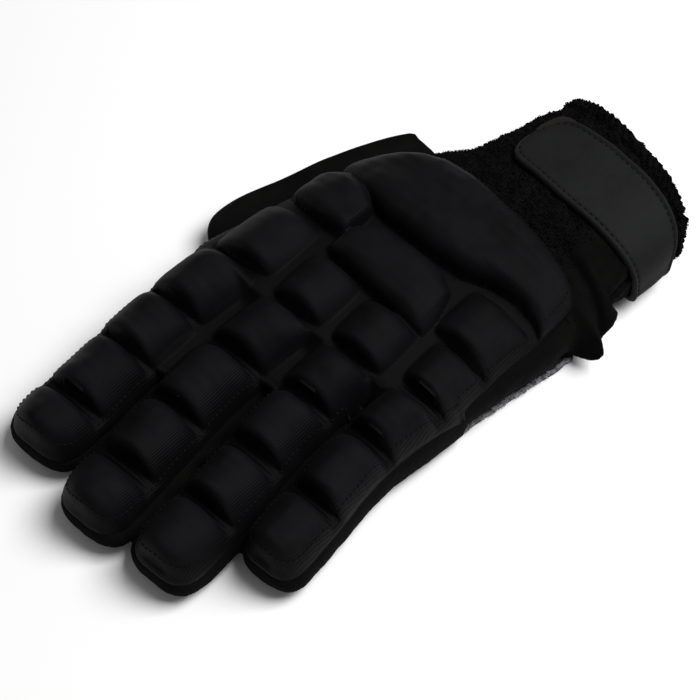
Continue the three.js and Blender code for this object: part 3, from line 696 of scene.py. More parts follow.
# domes: power of the share, then power of what is left
CROWN_ACROSS = (2.2, 0.95)
CROWN_TIP = (12, 1 / 3)
CROWN_WRIST = (4.5, 1 / 2)
CROWN_TILT = 0.07
PAD_FINGER_SIDE = (4.5, 1 / 2.4)
PAD_WRIST_SIDE = (3.4, 1 / 2.2)
PAD_ENDS = (3.4, 1 / 2.4)
BLOCK_TAPER = 0.12
GROOVE_HALF = 0.4
GROOVE_MARGIN = 0.6
GROOVE_LEAST = 1.4
FOOT_RISE = 4
EDGE_ROUNDING = 1.4
EDGE_LEAST = 0.03
RIM_SHARE = 0.35
UNEVEN_SHARE = 0.12
PANEL_X = (-74, 54)
PANEL_Y = (-108, 80)
PANEL_STEP = 0.62
SLOPE_STEP = 0.05
SNAP_SHARE = 0.5
KEEP_SHARE = 0.12
RELAX_ROUNDS = 14
RELAX_SHARE = 0.6
RIM_ROUNDS = 5
RIM_MOST = 0.25


def cloth_base(x, y):
    """Smooth top of the cloth under the panel."""
    at = y / HAND_LENGTH
    hand = top_of(hand_section(np.maximum(at, HAND["at"][0]), 0), x)
    hand = hand - np.maximum(HAND_END - y, 0) * HAND_FALL
    heights = [hand]
    for finger in FINGERS:
        place = np.clip(-y / finger["reach"], ROOT_START, 1)
        height = top_of(finger_section(finger, place, 0, 1), x)
        heights.append(height - np.maximum(y - FINGER_START, 0) * FINGER_FALL)
    for low, high, reach in WEBS:
        near, far = FINGERS[low], FINGERS[high]
        short = min(near["reach"], far["reach"])
        place = np.clip(-y / short, ROOT_START, 1)
        a, b = finger_section(near, place, 0, 2), finger_section(far, place, 0, 2)
        middle = (a["x"] + a["half"] + b["x"] - b["half"]) / 2
        lower = np.minimum(a["top"], b["top"])
        height = mix(mix(SOLE, lower, WIDEST), lower, WEB_TOP)
        height = height - np.maximum(np.abs(x - middle) - WEB_HALF, 0) * WEB_SIDE_FALL
        heights.append(height - np.maximum(-y - reach * short, 0) * WEB_END_FALL)
    return smooth_max(heights, BASE_BLEND)


def outline_field(x, y):
    """How far inside the panel's plan outline a place is, in millimetres."""
    fields = []
    for finger in FINGERS:
        end = 1 - FLANGE_INSET / finger["reach"]
        at = -y / finger["reach"]
        place = np.clip(at, ROOT_START, 1)
        width = HAND_WIDTH * finger["width"] * PROFILE_C["width"](place) / 2
        from_centre = x - HAND_WIDTH * finger["centre"](place)
        half = width - FLANGE_INSET + INDEX_SIDE * (finger is FINGERS[0]) * (from_centre < 0)
        across = np.abs(from_centre) / half
        along = np.maximum(1 - (end - at) * finger["reach"] / width, 0)
        radius = (across**TIP_FULL + along**TIP_FULL) ** (1 / TIP_FULL)
        fields.append(np.minimum((1 - radius) * half, FIELD_OVERLAP - y))
    hand = hand_section(np.maximum(y / HAND_LENGTH, HAND["at"][0]), -FLANGE_INSET)
    edge = np.interp(x / HAND_WIDTH, MAIN_PAD["x"], MAIN_PAD["high"]) * HAND_LENGTH + PAD_BORDER
    inwards = SIDE_INSET * np.clip((y - SIDE_INSET_START) / SIDE_INSET_LENGTH, 0, 1) * (x > 0)
    side = hand["half"] - np.abs(x - hand["x"]) - inwards + INDEX_SIDE * (x < 0)
    fields.append(smooth_min([side, edge - y, y + FIELD_OVERLAP], OUTLINE_CORNER))
    for low, high, reach in WEBS:
        near, far = FINGERS[low], FINGERS[high]
        length = reach * min(near["reach"], far["reach"])
        a = HAND_WIDTH * near["centre"](np.clip(-y / near["reach"], ROOT_START, 1))
        b = HAND_WIDTH * far["centre"](np.clip(-y / far["reach"], ROOT_START, 1))
        fields.append(np.minimum(np.minimum(y + length, FIELD_OVERLAP - y), np.minimum(x - a, b - x)))
    return smooth_max(fields, OUTLINE_BLEND)


def dome(share, powers):
    """Falls from 1 to 0 as the share grows from 0 to 1."""
    return (1 - share ** powers[0]) ** powers[1]


def crown(u, v):
    """Height share of a padded block: domed across, with a steep end towards the fingertip."""
    u = np.clip(np.abs(u), 0, 1)
    v = np.clip(v, -1, 1)
    ends = dome(np.maximum(v, 0), CROWN_TIP) * dome(np.maximum(-v, 0), CROWN_WRIST)
    return dome(u, CROWN_ACROSS) * ends * (1 - CROWN_TILT + CROWN_TILT * v)


def pad_height(x, y, table, rise):
    """Height of a pad given by columns across the hand."""
    share = x / HAND_WIDTH
    place = np.interp(share, table["x"], np.linspace(0, 1, len(table["x"])))
    v = np.sin(math.pi * (place - 0.5))
    low = np.interp(share, table["x"], table["low"]) * HAND_LENGTH
    high = np.interp(share, table["x"], table["high"]) * HAND_LENGTH
    u = (y - (low + high) / 2) / ((high - low) / 2)
    outside = (share < table["x"][0]) | (share > table["x"][-1]) | (np.abs(u) > 1)
    u = np.clip(u, -1, 1)
    sides = dome(np.maximum(-u, 0), PAD_FINGER_SIDE) * dome(np.maximum(u, 0), PAD_WRIST_SIDE)
    return np.where(outside, 0, rise * dome(np.abs(v), PAD_ENDS) * sides)


def block_height(x, y, block):
    """Height of one padded block of a finger's column."""
    index, near, far, shift, half = block
    finger = FINGERS[index]
    width = HAND_WIDTH * finger["width"]
    near, far = near - BLOCK_SPREAD / finger["reach"], far + BLOCK_SPREAD / finger["reach"]
    half = half * SIDE_SPREAD
    at = -y / finger["reach"]
    v = (at - near) / (far - near) * 2 - 1
    centre = HAND_WIDTH * finger["centre"](np.clip(at, ROOT_START, 1)) + width * shift
    if near < ROOT_START:
        centre = HAND_WIDTH * finger["centre"](ROOT_START) + width * shift + 0 * x
    left = (1 - at) * finger["reach"] - TIP_BORDER
    narrow = end_round(left, width / 2)
    outwards = INDEX_SIDE / 2 if index == 0 else 0
    reach = (width * half + outwards) * narrow * (1 - BLOCK_TAPER * np.abs(v) ** 6)
    u = (x - centre + outwards) / np.maximum(reach, SMALLEST)
    outside = (np.abs(u) > 1) | (np.abs(v) > 1)
    return np.where(outside, 0, BLOCK_RISE * crown(u, v) * end_round(left, TIP_DOME))


def groove_profile(x, y):
    """Furrows between neighbouring blocks of one finger, each with a thin weld in it."""
    total = 0 * x
    for first, second in zip(BLOCKS[:-1], BLOCKS[1:]):
        if first[0] == second[0]:
            finger = FINGERS[first[0]]
            place = (second[2] + first[1]) / 2
            middle = HAND_WIDTH * (finger["centre"](max(place, ROOT_START)) + finger["width"] * first[3])
            u = np.clip(np.abs(x - middle) / (HAND_WIDTH * finger["width"] * GROOVE_HALF), 0, 1)
            away = y + place * finger["reach"]
            weld = WELD_RISE * np.exp(-((away / WELD_WIDTH) ** 2))
            reach = max((first[1] - second[2]) * finger["reach"] / 2 + GROOVE_MARGIN, GROOVE_LEAST)
            furrow = GROOVE_DEPTH * np.exp(-((away / reach) ** 4))
            total = total + (weld - furrow) * (1 - u**4)
    return total


def panel_height(x, y):
    """Underside and top of the panel, and the share of painted shade for the low places between the blocks.
    """
    inside = np.maximum(outline_field(x, y), 0)
    base = cloth_base(x, y) + CLEARANCE
    flat = np.column_stack([x.ravel(), y.ravel(), 0 * x.ravel()])
    uneven = (0.3 * noise_field(flat, 17, 3) + 0.12 * noise_field(flat, 6, 4)).reshape(x.shape)
    edge = np.clip(inside / EDGE_ROUNDING, EDGE_LEAST, 1)
    flange = FLANGE * mix(RIM_SHARE, 1, np.sqrt(1 - (1 - edge) ** 2))
    rise = np.zeros_like(x)
    for block in BLOCKS:
        rise = np.maximum(rise, block_height(x, y, block))
    rise = np.maximum(rise, pad_height(x, y, INDEX_END_BLOCK, BLOCK_RISE))
    rise = np.maximum(rise, pad_height(x, y, KNUCKLE_PAD, BLOCK_RISE))
    rise = np.maximum(rise, pad_height(x, y, MAIN_PAD, MAIN_PAD_RISE))
    seam = SEAM_DEPTH * np.exp(-(((inside - SEAM_INSET) / SEAM_WIDTH) ** 2))
    groove = groove_profile(x, y) * np.clip(1 - rise / FOOT_RISE, 0, 1)
    rise = rise * (1 + UNEVEN_SHARE * uneven) + uneven * np.clip(rise / FOOT_RISE, 0, 1)
    # painted shade share: 1 on the flange and in the grooves, 0 on the block tops
    hollow_shade = np.clip(1 - rise / FOOT_RISE, 0, 1)
    top = base + flange + rise + groove - seam * np.clip(1 - rise / SEAM_RISE, 0, 1)
    return base, top, hollow_shade


def outline_steps(x, y, least):
    """Distance inside the outline, and the moves along x and y that take a place onto it."""
    inside = outline_field(x, y)
    slope_x = (outline_field(x + SLOPE_STEP, y) - inside) / SLOPE_STEP
    slope_y = (outline_field(x, y + SLOPE_STEP) - inside) / SLOPE_STEP
    steep = np.maximum(slope_x**2 + slope_y**2, least)
    return inside, -inside * slope_x / steep, -inside * slope_y / steep


def panel_grid():
    """Grid of places in plan, with those near the outline moved onto it."""
    x, y = np.meshgrid(np.arange(*PANEL_X, PANEL_STEP), np.arange(*PANEL_Y, PANEL_STEP))
    for _ in range(2):
        inside, move_x, move_y = outline_steps(x, y, 0.1)
        near = np.abs(inside) < SNAP_SHARE * PANEL_STEP
        x = np.where(near, x + move_x, x)
        y = np.where(near, y + move_y, y)
    return x, y


def relaxed(x, y, inside, keep):
    """Grid places drawn together on the steep flanks of the blocks; the outline stays."""
    top = panel_height(x, y)[1]
    moving = keep.copy()
    moving[1:-1, 1:-1] &= keep[2:, 1:-1] & keep[:-2, 1:-1] & keep[1:-1, 2:] & keep[1:-1, :-2]
    moving &= np.abs(inside) > 1e-3
    moving[0], moving[-1], moving[:, 0], moving[:, -1] = False, False, False, False
    x_start, y_start = x, y
    most = PANEL_STEP * np.clip(0.2 + 0.35 * (inside - 0.8), 0.2, 1.4)
    for _ in range(RELAX_ROUNDS):
        weight_sum, x_sum, y_sum = 0, 0, 0
        for axis in (0, 1):
            for way in (1, -1):
                nx, ny, nz = (np.roll(v, way, axis) for v in (x, y, top))
                weight = ((nx - x) ** 2 + (ny - y) ** 2 + (nz - top) ** 2) ** 0.6
                weight_sum = weight_sum + weight
                x_sum = x_sum + weight * nx
                y_sum = y_sum + weight * ny
        x = np.where(moving, mix(x, x_sum / weight_sum, RELAX_SHARE), x)
        y = np.where(moving, mix(y, y_sum / weight_sum, RELAX_SHARE), y)
        x = x_start + np.clip(x - x_start, -most, most)
        y = y_start + np.clip(y - y_start, -most, most)
        top = panel_height(x, y)[1]
    return x, y


def grid_faces(keep, snapped):
    """Quads and triangles of the kept places, without slivers along the outline."""
    number = np.arange(keep.size).reshape(keep.shape)
    corners = [number[:-1, :-1], number[:-1, 1:], number[1:, 1:], number[1:, :-1]]
    corners = np.stack(corners, -1).reshape(-1, 4)
    kept = keep.ravel()[corners]
    total = kept.sum(1) * ~(snapped.ravel()[corners] | ~kept).all(1)
    faces = [list(face) for face in corners[total == 4]]
    for face, good in zip(corners[total == 3], kept[total == 3]):
        faces.append([int(p) for p, g in zip(face, good) if g])
    return faces


def border_edges(faces):
    edges = {}
    for face in faces:
        for first, second in zip(face, face[1:] + face[:1]):
            edges[(first, second)] = True
    return [(p, q) for (p, q) in edges if (q, p) not in edges]


def longest_loop(border):
    following = dict(border)
    longest = []
    while following:
        loop = [next(iter(following))]
        while loop[-1] in following:
            loop.append(following.pop(loop[-1]))
        longest = max(longest, loop, key=len)
    return longest


def build_panel():
    """Points, faces, rim line, weave coordinates and painted shade shares of the foam panel."""
    x, y = panel_grid()
    inside = outline_field(x, y)
    keep = inside > -KEEP_SHARE * PANEL_STEP
    faces = grid_faces(keep, np.abs(inside) < 0.03)
    border = border_edges(faces)
    rim = np.unique(np.array(border))
    columns = x.shape[1]
    x, y = (values.ravel() for values in relaxed(x, y, inside, keep))
    rim_x, rim_y = x[rim], y[rim]
    for _ in range(RIM_ROUNDS):
        move_x, move_y = outline_steps(rim_x, rim_y, 0.2)[1:]
        rim_x = rim_x + np.clip(move_x, -RIM_MOST, RIM_MOST)
        rim_y = rim_y + np.clip(move_y, -RIM_MOST, RIM_MOST)
    x[rim], y[rim] = rim_x, rim_y
    base, top, hollow_shade = panel_height(x, y)
    used = sorted({p for face in faces for p in face})
    place = {old: new for new, old in enumerate(used)}
    count = len(used)
    used = np.array(used)
    upper = np.stack([x[used], y[used], top[used]], -1)
    lower = np.stack([x[used], y[used], base[used]], -1)
    all_faces = [[place[p] for p in face] for face in faces]
    all_faces += [[place[p] + count for p in reversed(face)] for face in faces]
    all_faces += [[place[q], place[p], place[p] + count, place[q] + count] for p, q in border]
    rim_line = upper[longest_loop([(place[p], place[q]) for p, q in border])]
    laid = np.column_stack([used % columns, used // columns]) * PANEL_STEP * MM
    laid, hollow_shade = np.concatenate([laid, laid]), np.concatenate([hollow_shade[used], hollow_shade[used]])
    return np.concatenate([upper, lower]), all_faces, rim_line, laid, hollow_shade


panel_points, panel_faces, panel_rim, panel_laid, panel_hollow_shade = build_panel()
panel = new_object("foam_panel", panel_points, panel_faces, foam_mat)
corner_of = np.empty(len(panel.data.loops), int)
panel.data.loops.foreach_get("vertex_index", corner_of)
# the painted shade share goes onto the panel as a point attribute
hollow_shade = panel.data.attributes.new("hollow_shade", "FLOAT", "POINT")
hollow_shade.data.foreach_set("value", panel_hollow_shade)
panel.data.uv_layers.new(name="laid").data.foreach_set("uv", panel_laid[corner_of].ravel())
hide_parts("foam_back")
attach(panel, "root")


def panel_seam(distance, spacing):
    """Row of stitches a distance inside the panel's rim."""
    rim = panel_rim[:-1, :2].copy()
    for _ in range(6):
        rim = (np.roll(rim, 1, 0) + 2 * rim + np.roll(rim, -1, 0)) / 4
    x, y = rim[:, 0], rim[:, 1]
    small = 0.2
    for _ in range(6):
        inside = outline_field(x, y)
        slope_x = (outline_field(x + small, y) - outline_field(x - small, y)) / (2 * small)
        slope_y = (outline_field(x, y + small) - outline_field(x, y - small)) / (2 * small)
        steep = np.maximum(slope_x**2 + slope_y**2, 0.2)
        x = x + np.clip((distance - inside) * slope_x / steep, -0.8, 0.8)
        y = y + np.clip((distance - inside) * slope_y / steep, -0.8, 0.8)
    line = evenly(np.column_stack([x, y, 0 * x]), spacing, True)
    x, y = line[:, 0], line[:, 1]
    height = panel_height(x, y)[1]
    right = panel_height(x + small, y)[1]
    ahead = panel_height(x, y + small)[1]
    normals = np.column_stack([-(right - height) / small, -(ahead - height) / small, 1 + 0 * x])
    line[:, 2] = height
    return line, line_tangents(line, True), normals


STITCH_STEP = 2.1
STITCH_SIZE = [1.5, 0.5, 0.5]
seam_line, seam_tangents, seam_normals = panel_seam(SEAM_INSET, STITCH_STEP)
stitch_points, stitch_faces = stitch_shape()
scales = np.tile(STITCH_SIZE, (len(seam_line), 1))
points, faces = scattered(
    stitch_points, stitch_faces, seam_line, frames_on(seam_tangents, seam_normals), scales
)
panel_stitches = new_object("panel_stitches", points, faces, thread_mat)
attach(panel_stitches, "root")


# Hand and fingers
TIP_LIFT = 2.6
HAND_BELLY = 1.0
for finger, belly in zip(FINGERS, ((1.5, 0.3), (0.3, 1.2), (1.2, 0.3), (0.3, 0.7))):
    finger["belly"] = belly


def hand_tube(grow, first, last, count, steps):
    rings = []
    for at in np.linspace(first, last, count):
        tucked = 0.6 * np.clip((at - CUFF_PLACE) / 0.02, 0, 1)
        side_belly = fuller_sides(0, HAND_BELLY * np.clip(at / 0.2, 0, 1))
        folds = fold_bulge(at)

        def bulge(side, height, folds=folds, side_belly=side_belly):
            return folds(side, height) + side_belly(side, height)

        rings.append(section_ring(hand_section(at, grow - tucked), steps, bulge))
    return tube_mesh(rings)


def fuller_sides(left, right):
    """Cloth that bellies out a little at the sides, below its widest line."""

    def bulge(side, height):
        low = np.clip(1.5 - 2 * height, 0, 1)
        return low * (right * np.maximum(side, 0) ** 2 - left * np.maximum(-side, 0) ** 2)

    return bulge


def finger_tube(finger, grow, steps):
    places = np.concatenate([np.linspace(-0.1, 0.84, 40), 1 - 0.16 * np.linspace(1, 0.0, 24)[1:] ** 2])
    places[-1] = 0.9995
    rings = []
    for at in places:
        section = finger_section(finger, at, grow, 1)
        lifted = np.clip((at - 0.86) / 0.14, 0, 1) ** 2 * TIP_LIFT
        section["bottom"] = section["bottom"] + lifted
        rooted = np.clip((at + 0.06) / 0.12, 0, 1)
        belly = fuller_sides(finger["belly"][0] * rooted, finger["belly"][1] * rooted)
        rings.append(section_ring(section, steps, belly))
    return tube_mesh(rings)


def web_tube(web, steps):
    low, high, reach = web
    near, far = FINGERS[low], FINGERS[high]
    short = min(near["reach"], far["reach"])
    rings = []
    for distance in np.linspace(-0.1 * short, reach * short, 24):
        a = finger_section(near, distance / near["reach"], 0, 2)
        b = finger_section(far, distance / far["reach"], 0, 2)
        left, right = a["x"] + a["half"], b["x"] - b["half"]
        lower = min(a["top"], b["top"])
        roundness = end_round(reach * short - distance, 4 * FABRIC_WALL) + 0.02
        middle = mix(SOLE, lower, WIDEST)
        section = dict(
            x=(left + right) / 2,
            y=-distance,
            turn=0,
            half=((right - left) / 2 + 4 * FABRIC_WALL) * roundness,
            bottom=SOLE + FABRIC_WALL,
            top=mix(middle, mix(middle, lower, WEB_TOP), math.sqrt(roundness)),
        )
        rings.append(section_ring(section, steps))
    return tube_mesh(rings)


parts = [hand_tube(0, HAND["at"][0], CUFF_PLACE + 0.05, 90, 200)]
parts += [finger_tube(finger, 0, 72) for finger in FINGERS]
parts += [web_tube(web, 40) for web in WEBS]
points, faces = joined(parts)
hand = new_object("hand_cloth", points, faces, stretch_mat)
fix_normals(hand)
remesh = hand.modifiers.new("remesh", "REMESH")
remesh.mode = "VOXEL"
remesh.voxel_size = 1.0 * MM
remesh.use_smooth_shade = True
apply_modifiers(hand)
work = bmesh.new()
work.from_mesh(hand.data)
wrist_end = (CUFF_PLACE + 0.04) * HAND_LENGTH * MM
beyond = [face for face in work.faces if face.calc_center_median().y > wrist_end]
bmesh.ops.delete(work, geom=beyond, context="FACES")
work.to_mesh(hand.data)
work.free()
points = coordinates(hand)
normals = np.empty(len(points) * 3)
hand.data.vertices.foreach_get("normal", normals)
normals = normals.reshape(-1, 3)
creases = 0.22 * noise_field(points, 13, 61) + 0.12 * noise_field(points * [1, 2.2, 1], 6, 62)
set_coordinates(hand, points + normals * creases[:, None] - normals * 0.1)
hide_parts("palm_body", "index_sleeve", "middle_sleeve", "ring_sleeve", "little_sleeve")
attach(hand, "root")


# Thumb
THUMB_SEAM_TURN = math.radians(128)


def thumb_tube(grow, count, steps):
    base = HAND_LENGTH * THUMB_BASE_PLACE
    rings = []
    shares = np.linspace(0, 1, count)
    shares = np.where(shares > 0.7, 1 - (1 - shares) ** 1.5 * 0.3 / 0.3**1.5, shares)
    shares = np.clip(shares, 0, 0.9995)
    for share in shares:
        at = mix(-grow / THUMB_LENGTH, 1 + grow / THUMB_LENGTH, share)
        centre = np.array([HAND_WIDTH * THUMB_C["x"](at), base - THUMB_LENGTH * at])
        ahead = np.array([HAND_WIDTH * THUMB_C["x"](at + 0.02), base - THUMB_LENGTH * (at + 0.02)])
        behind = np.array([HAND_WIDTH * THUMB_C["x"](at - 0.02), base - THUMB_LENGTH * (at - 0.02)])
        along = (ahead - behind) / np.linalg.norm(ahead - behind)
        width = THUMB_WIDTH * THUMB_C["width"](at)
        thickness = mix(HAND_THICKNESS, THUMB_THICKNESS, THUMB_C["blend"](at))
        left = THUMB_LENGTH * (1 - at) + grow
        passed = THUMB_LENGTH * at + grow
        roundness = end_round(left, width / 2) * mix(0.8, 1, end_round(passed, width / 6))
        middle = SOLE + thickness * WIDEST
        soft = math.sqrt(roundness)
        section = dict(
            x=centre[0],
            y=centre[1],
            turn=math.atan2(-along[0], -along[1]),
            half=(width / 2 + grow) * roundness,
            bottom=mix(middle, SOLE - grow, soft),
            top=mix(middle, SOLE + thickness + grow, soft),
        )
        ring = section_ring(section, steps)
        turn = 2 * math.pi * np.arange(steps) / steps
        away = (turn - THUMB_SEAM_TURN) / 0.11
        trough = (turn - THUMB_SEAM_TURN + 0.3) / 0.2
        lift = 1.3 * np.exp(-(away**2)) - 1.2 * np.exp(-(trough**2))
        fade = np.clip(share / 0.05, 0, 1) * np.clip((0.86 - share) / 0.08, 0, 1)
        ring[:, 2] += lift * fade
        ring[:, 0] -= 0.5 * lift * fade
        rings.append(ring)
    return tube_mesh(rings)


points, faces = thumb_tube(0.6, 140, 160)
points = points + 0.35 * noise_field(points, 11, 51)[:, None] * np.array([0.6, 0.2, 1.0])
thumb = new_object("thumb_cloth", points, faces, stretch_mat)
fix_normals(thumb)
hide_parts("thumb_sleeve")
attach(thumb, "root")


# Cuff
def cuff_point(along, turn, grow):
    """Points on the cuff surface; along and turn are arrays of one shape."""
    section = hand_section(1.0, grow)
    share = along / CUFF_LENGTH
    upper = np.sin(turn) >= 0
    power = np.where(upper, 2 / TOP_FULL, 2 / BOTTOM_FULL)
    lower_side = np.clip(0.6 - np.sin(turn), 0, 1) * np.maximum(np.cos(turn), 0)
    narrow = 1 - (RIM_NARROWING + SIDE_NARROWING * lower_side) * share**2
    sideways = section["half"] * narrow * signed_power(np.cos(turn), power)
    slant = RIM_SLANT * share**2 * ((1 + np.cos(turn)) / 2) ** 2
    top = section["top"] + WRIST_LIFT * share
    widest = mix(section["bottom"], top, WIDEST)
    span = np.where(upper, top - widest, widest - section["bottom"])
    height = widest + signed_power(np.sin(turn), power) * span
    crest = np.maximum(np.sin(turn + RIM_CREST_TURN), 0) ** 1.5
    crest = RIM_CREST * share**2 * (2 * crest - 1.2)
    distance = along - slant + crest
    c, s = math.cos(section["turn"]), math.sin(section["turn"])
    return np.stack(
        [
            section["x"] + c * sideways + s * distance,
            section["y"] - s * sideways + c * distance,
            height,
        ],
        -1,
    )


CUFF_STEPS = 330
PILE_ROUGH = 0.45
PURL_DEPTH = 0.5
PURL_STEP = 2.7
THUMB_SIDE_FILL = 1.3


def cuff_rings(grow, hem, low_count, high_count):
    rings = []
    for at in np.linspace(CUFF_PLACE - 0.02, 1, low_count)[:-1]:
        rings.append(section_ring(hand_section(at, grow), CUFF_STEPS, fold_bulge(at)))
    turn = 2 * math.pi * np.arange(CUFF_STEPS) / CUFF_STEPS
    for along in np.linspace(0, CUFF_LENGTH, high_count):
        share = np.clip((along - CUFF_LENGTH + HEM_DEPTH) / 1.5, 0, 1)
        extra = hem * HEM_EXTRA * share * share * (3 - 2 * share)
        rings.append(cuff_point(along + 0 * turn, turn, grow + extra))
    return rings


def grid_normals(grid):
    """Outward normals of a grid of rings."""
    around = np.roll(grid, -1, 1) - np.roll(grid, 1, 1)
    normals = np.cross(np.gradient(grid, axis=0), around)
    return normals / np.maximum(np.linalg.norm(normals, axis=2, keepdims=True), 1e-9)


low_count, high_count = ((38, 74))
outer = np.array(cuff_rings(0, 1, low_count, high_count))
turn = 2 * math.pi * np.arange(CUFF_STEPS) / CUFF_STEPS
along = np.concatenate([np.full(low_count - 1, -1.0), np.linspace(0, CUFF_LENGTH, high_count)])
smooth_side = np.clip((outer[:, :, 0] - 30) / 8, 0, 1) * np.clip((96 - outer[:, :, 1]) / 6, 0, 1)
pile = 1 - smooth_side
flat = outer.reshape(-1, 3)
rough = noise_field(flat, 2.4, 11) + 0.7 * noise_field(flat, 1.1, 12)
rough = PILE_ROUGH * rough.reshape(pile.shape) * (0.25 + 0.75 * pile)
sag = 0.5 * noise_field(flat, 22, 13).reshape(pile.shape)
hem_share = np.clip((along - CUFF_LENGTH + HEM_DEPTH) / 2, 0, 1)[:, None]
arc = turn[None, :] * 31
purl = PURL_DEPTH * np.sin(2 * math.pi * (arc - 0.8 * along[:, None]) / PURL_STEP) * hem_share
lumps = 0.35 * noise_field(flat, 7, 14).reshape(pile.shape) * pile
height = outer[:, :, 2]
first_valley = outer[:, :, 1] - 56.9 - 0.59 * height
second_valley = outer[:, :, 1] - 59.4 - 0.9 * height - 0.12 * np.maximum(height - 11, 0) ** 2
third_valley = outer[:, :, 1] - 84 - 0.5 * height
folds = 0 * height
for away, depth, width in (
    (first_valley, -2.0, 1.7),
    (0.5 * (first_valley + second_valley), 1.1, 2.6),
    (second_valley, -2.4, 1.9),
    (second_valley - 5.5, 1.0, 3.4),
    (third_valley, -0.9, 1.6),
):
    folds = folds + depth * np.exp(-((away / width) ** 2))
folds = folds * np.clip((outer[:, :, 0] - 26) / 12, 0, 1) * np.clip((height - 4.5) / 6, 0, 1)
fuller = THUMB_SIDE_FILL * np.exp(-(((outer[:, :, 1] - 82) / 14) ** 2))
fuller = fuller * np.clip((-outer[:, :, 0] - 14) / 10, 0, 1)
cuff_normals = grid_normals(outer)
outer = outer + cuff_normals * (rough + purl + sag + lumps + folds + fuller)[:, :, None]
inner = np.array(cuff_rings(-CUFF_WALL, 0, 8, 20))
rings = list(outer)
for dip, drop in ((0.35, 0.35), (0.75, 0.3)):
    rings.append(mix(outer[-1], inner[-1], dip) + np.gradient(outer, axis=0)[-1] * drop)
rings += list(inner[::-1])
points = np.concatenate(rings)
faces = ring_faces(len(rings), CUFF_STEPS)
start = (len(rings) - 1) * CUFF_STEPS
faces += [
    [start + i, start + (i + 1) % CUFF_STEPS, (i + 1) % CUFF_STEPS, i] for i in range(CUFF_STEPS)
]
cuff = new_object("knit_cuff", points, faces, knit_mat)
cuff.data.materials.append(stretch_mat)
smooth_points = np.zeros(len(points))
smooth_points[: smooth_side.size] = smooth_side.ravel()
for polygon in cuff.data.polygons:
    polygon.material_index = int(smooth_points[polygon.vertices[0]] > 0.5)
fix_normals(cuff)
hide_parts("wrist_cuff")
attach(cuff, "root")


def surface_places(grid, normals, weight, count, seed):
    """Random places on a closed grid of rings, weighted by area and a weight."""
    random = np.random.default_rng(seed)
    a, b = grid[:-1], np.roll(grid, -1, 1)[:-1]
    c = grid[1:]
    area = np.linalg.norm(np.cross(b - a, c - a), axis=2) * weight[:-1]
    chosen = random.choice(area.size, count, p=area.ravel() / area.sum())
    row, step = np.unravel_index(chosen, area.shape)
    s, t = random.random((2, count, 1))
    after = (step + 1) % grid.shape[1]
    low = mix(grid[row, step], grid[row, after], s)
    high = mix(grid[row + 1, step], grid[row + 1, after], s)
    return mix(low, high, t), normals[row, step], random


LOOP_COUNT = 15000
places, normals, random = surface_places(outer, cuff_normals, pile, LOOP_COUNT, 21)
leaning = normals + random.normal(scale=0.6, size=normals.shape)
frames = frames_on(random.normal(size=normals.shape), leaning)
height = random.uniform(0.3, 0.75, LOOP_COUNT)
length = random.uniform(0.6, 1.0, LOOP_COUNT)
width = random.uniform(0.22, 0.36, LOOP_COUNT)
scales = np.column_stack([length, width, height])
points, faces = scattered(*loop_shape(), places, frames, scales)
cuff_pile = new_object("cuff_pile", points, faces, knit_mat)
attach(cuff_pile, "root")


# Strap
STRAP_C = {
    key: curve(np.linspace(0, 1, len(STRAP["turn"])), STRAP[key]) for key in ("turn", "low", "high")
}


STRAP_SEAM_INSET = 2.6
STRAP_SEAM_PLACE = 0.84
STRAP_TUCK = 2.4
TAB_ALONG = 26.4
TAB_LENGTH = 15.5
TAB_TURN = math.radians(121)
TAB_SPREAD = math.radians(13.5)
TAB_RISE = 0.9
WELT_WIDTH = 1.3
WELT_RISE = 0.35


def strap_place(s, t):
    along = STRAP_START + STRAP_WIDTH * mix(STRAP_C["low"](s), STRAP_C["high"](s), t)
    along = along - STRAP_TUCK * t * np.clip((s - 0.72) / 0.2, 0, 1)
    return along, np.radians(STRAP_C["turn"](s))


def strap_surface(s, t, rise):
    along, turn = strap_place(s, t)
    return cuff_point(along, turn, 2 * CLEARANCE + rise)


def rim_distance(s, t):
    """Distance of a place from the strap's nearest edge, in millimetres."""
    length = 118
    width = STRAP_WIDTH * (STRAP_C["high"](s) - STRAP_C["low"](s))
    sides = np.minimum(t, 1 - t) * width
    return np.minimum(sides, np.minimum(s, 1 - s) * length)


def strap_rise(s, t):
    """Thickness with a rounded rim, a pressed welt, a stitch furrow and a cross seam."""
    rim = rim_distance(s, t)
    rounded = np.sqrt(np.clip(1 - (1 - np.clip(rim / 0.9, 0, 1)) ** 2, 0.02, 1))
    welt = WELT_RISE * np.exp(-(((rim - WELT_WIDTH) / 0.7) ** 2))
    furrow = 0.3 * np.exp(-(((rim - STRAP_SEAM_INSET) / 0.45) ** 2))
    step = 0.4 * np.clip((s - STRAP_SEAM_PLACE) / 0.02, 0, 1)
    return STRAP_THICKNESS * 0.8 * rounded + welt - furrow + step * np.clip(rim, 0, 1)


def build_strap(around, across):
    s = 0.5 - 0.5 * np.cos(np.linspace(0, math.pi, around))
    s = mix(s, np.linspace(0, 1, around), 0.6)[:, None] + np.zeros((1, across))
    t = 0.5 - 0.5 * np.cos(np.linspace(0, math.pi, across))
    t = mix(t, np.linspace(0, 1, across), 0.5)[None, :] + np.zeros((around, 1))
    under = strap_surface(s, t, 0)
    over = strap_surface(s, t, strap_rise(s, t))
    flat = over.reshape(-1, 3)
    over = strap_surface(s, t, strap_rise(s, t) + 0.15 * noise_field(flat, 16, 31).reshape(s.shape))
    count = around * across
    points = np.concatenate([over.reshape(-1, 3), under.reshape(-1, 3)])
    quads = np.array(ring_faces(around, across, close=False))
    faces = quads.tolist() + (quads[:, ::-1] + count).tolist()
    loop = (
        [(i, 0) for i in range(around)]
        + [(around - 1, j) for j in range(1, across)]
        + [(i, across - 1) for i in range(around - 2, -1, -1)]
        + [(0, j) for j in range(across - 2, 0, -1)]
    )
    numbers = [i * across + j for i, j in loop]
    for first, second in zip(numbers, numbers[1:] + numbers[:1]):
        faces.append([first, second, second + count, first + count])
    return points, faces


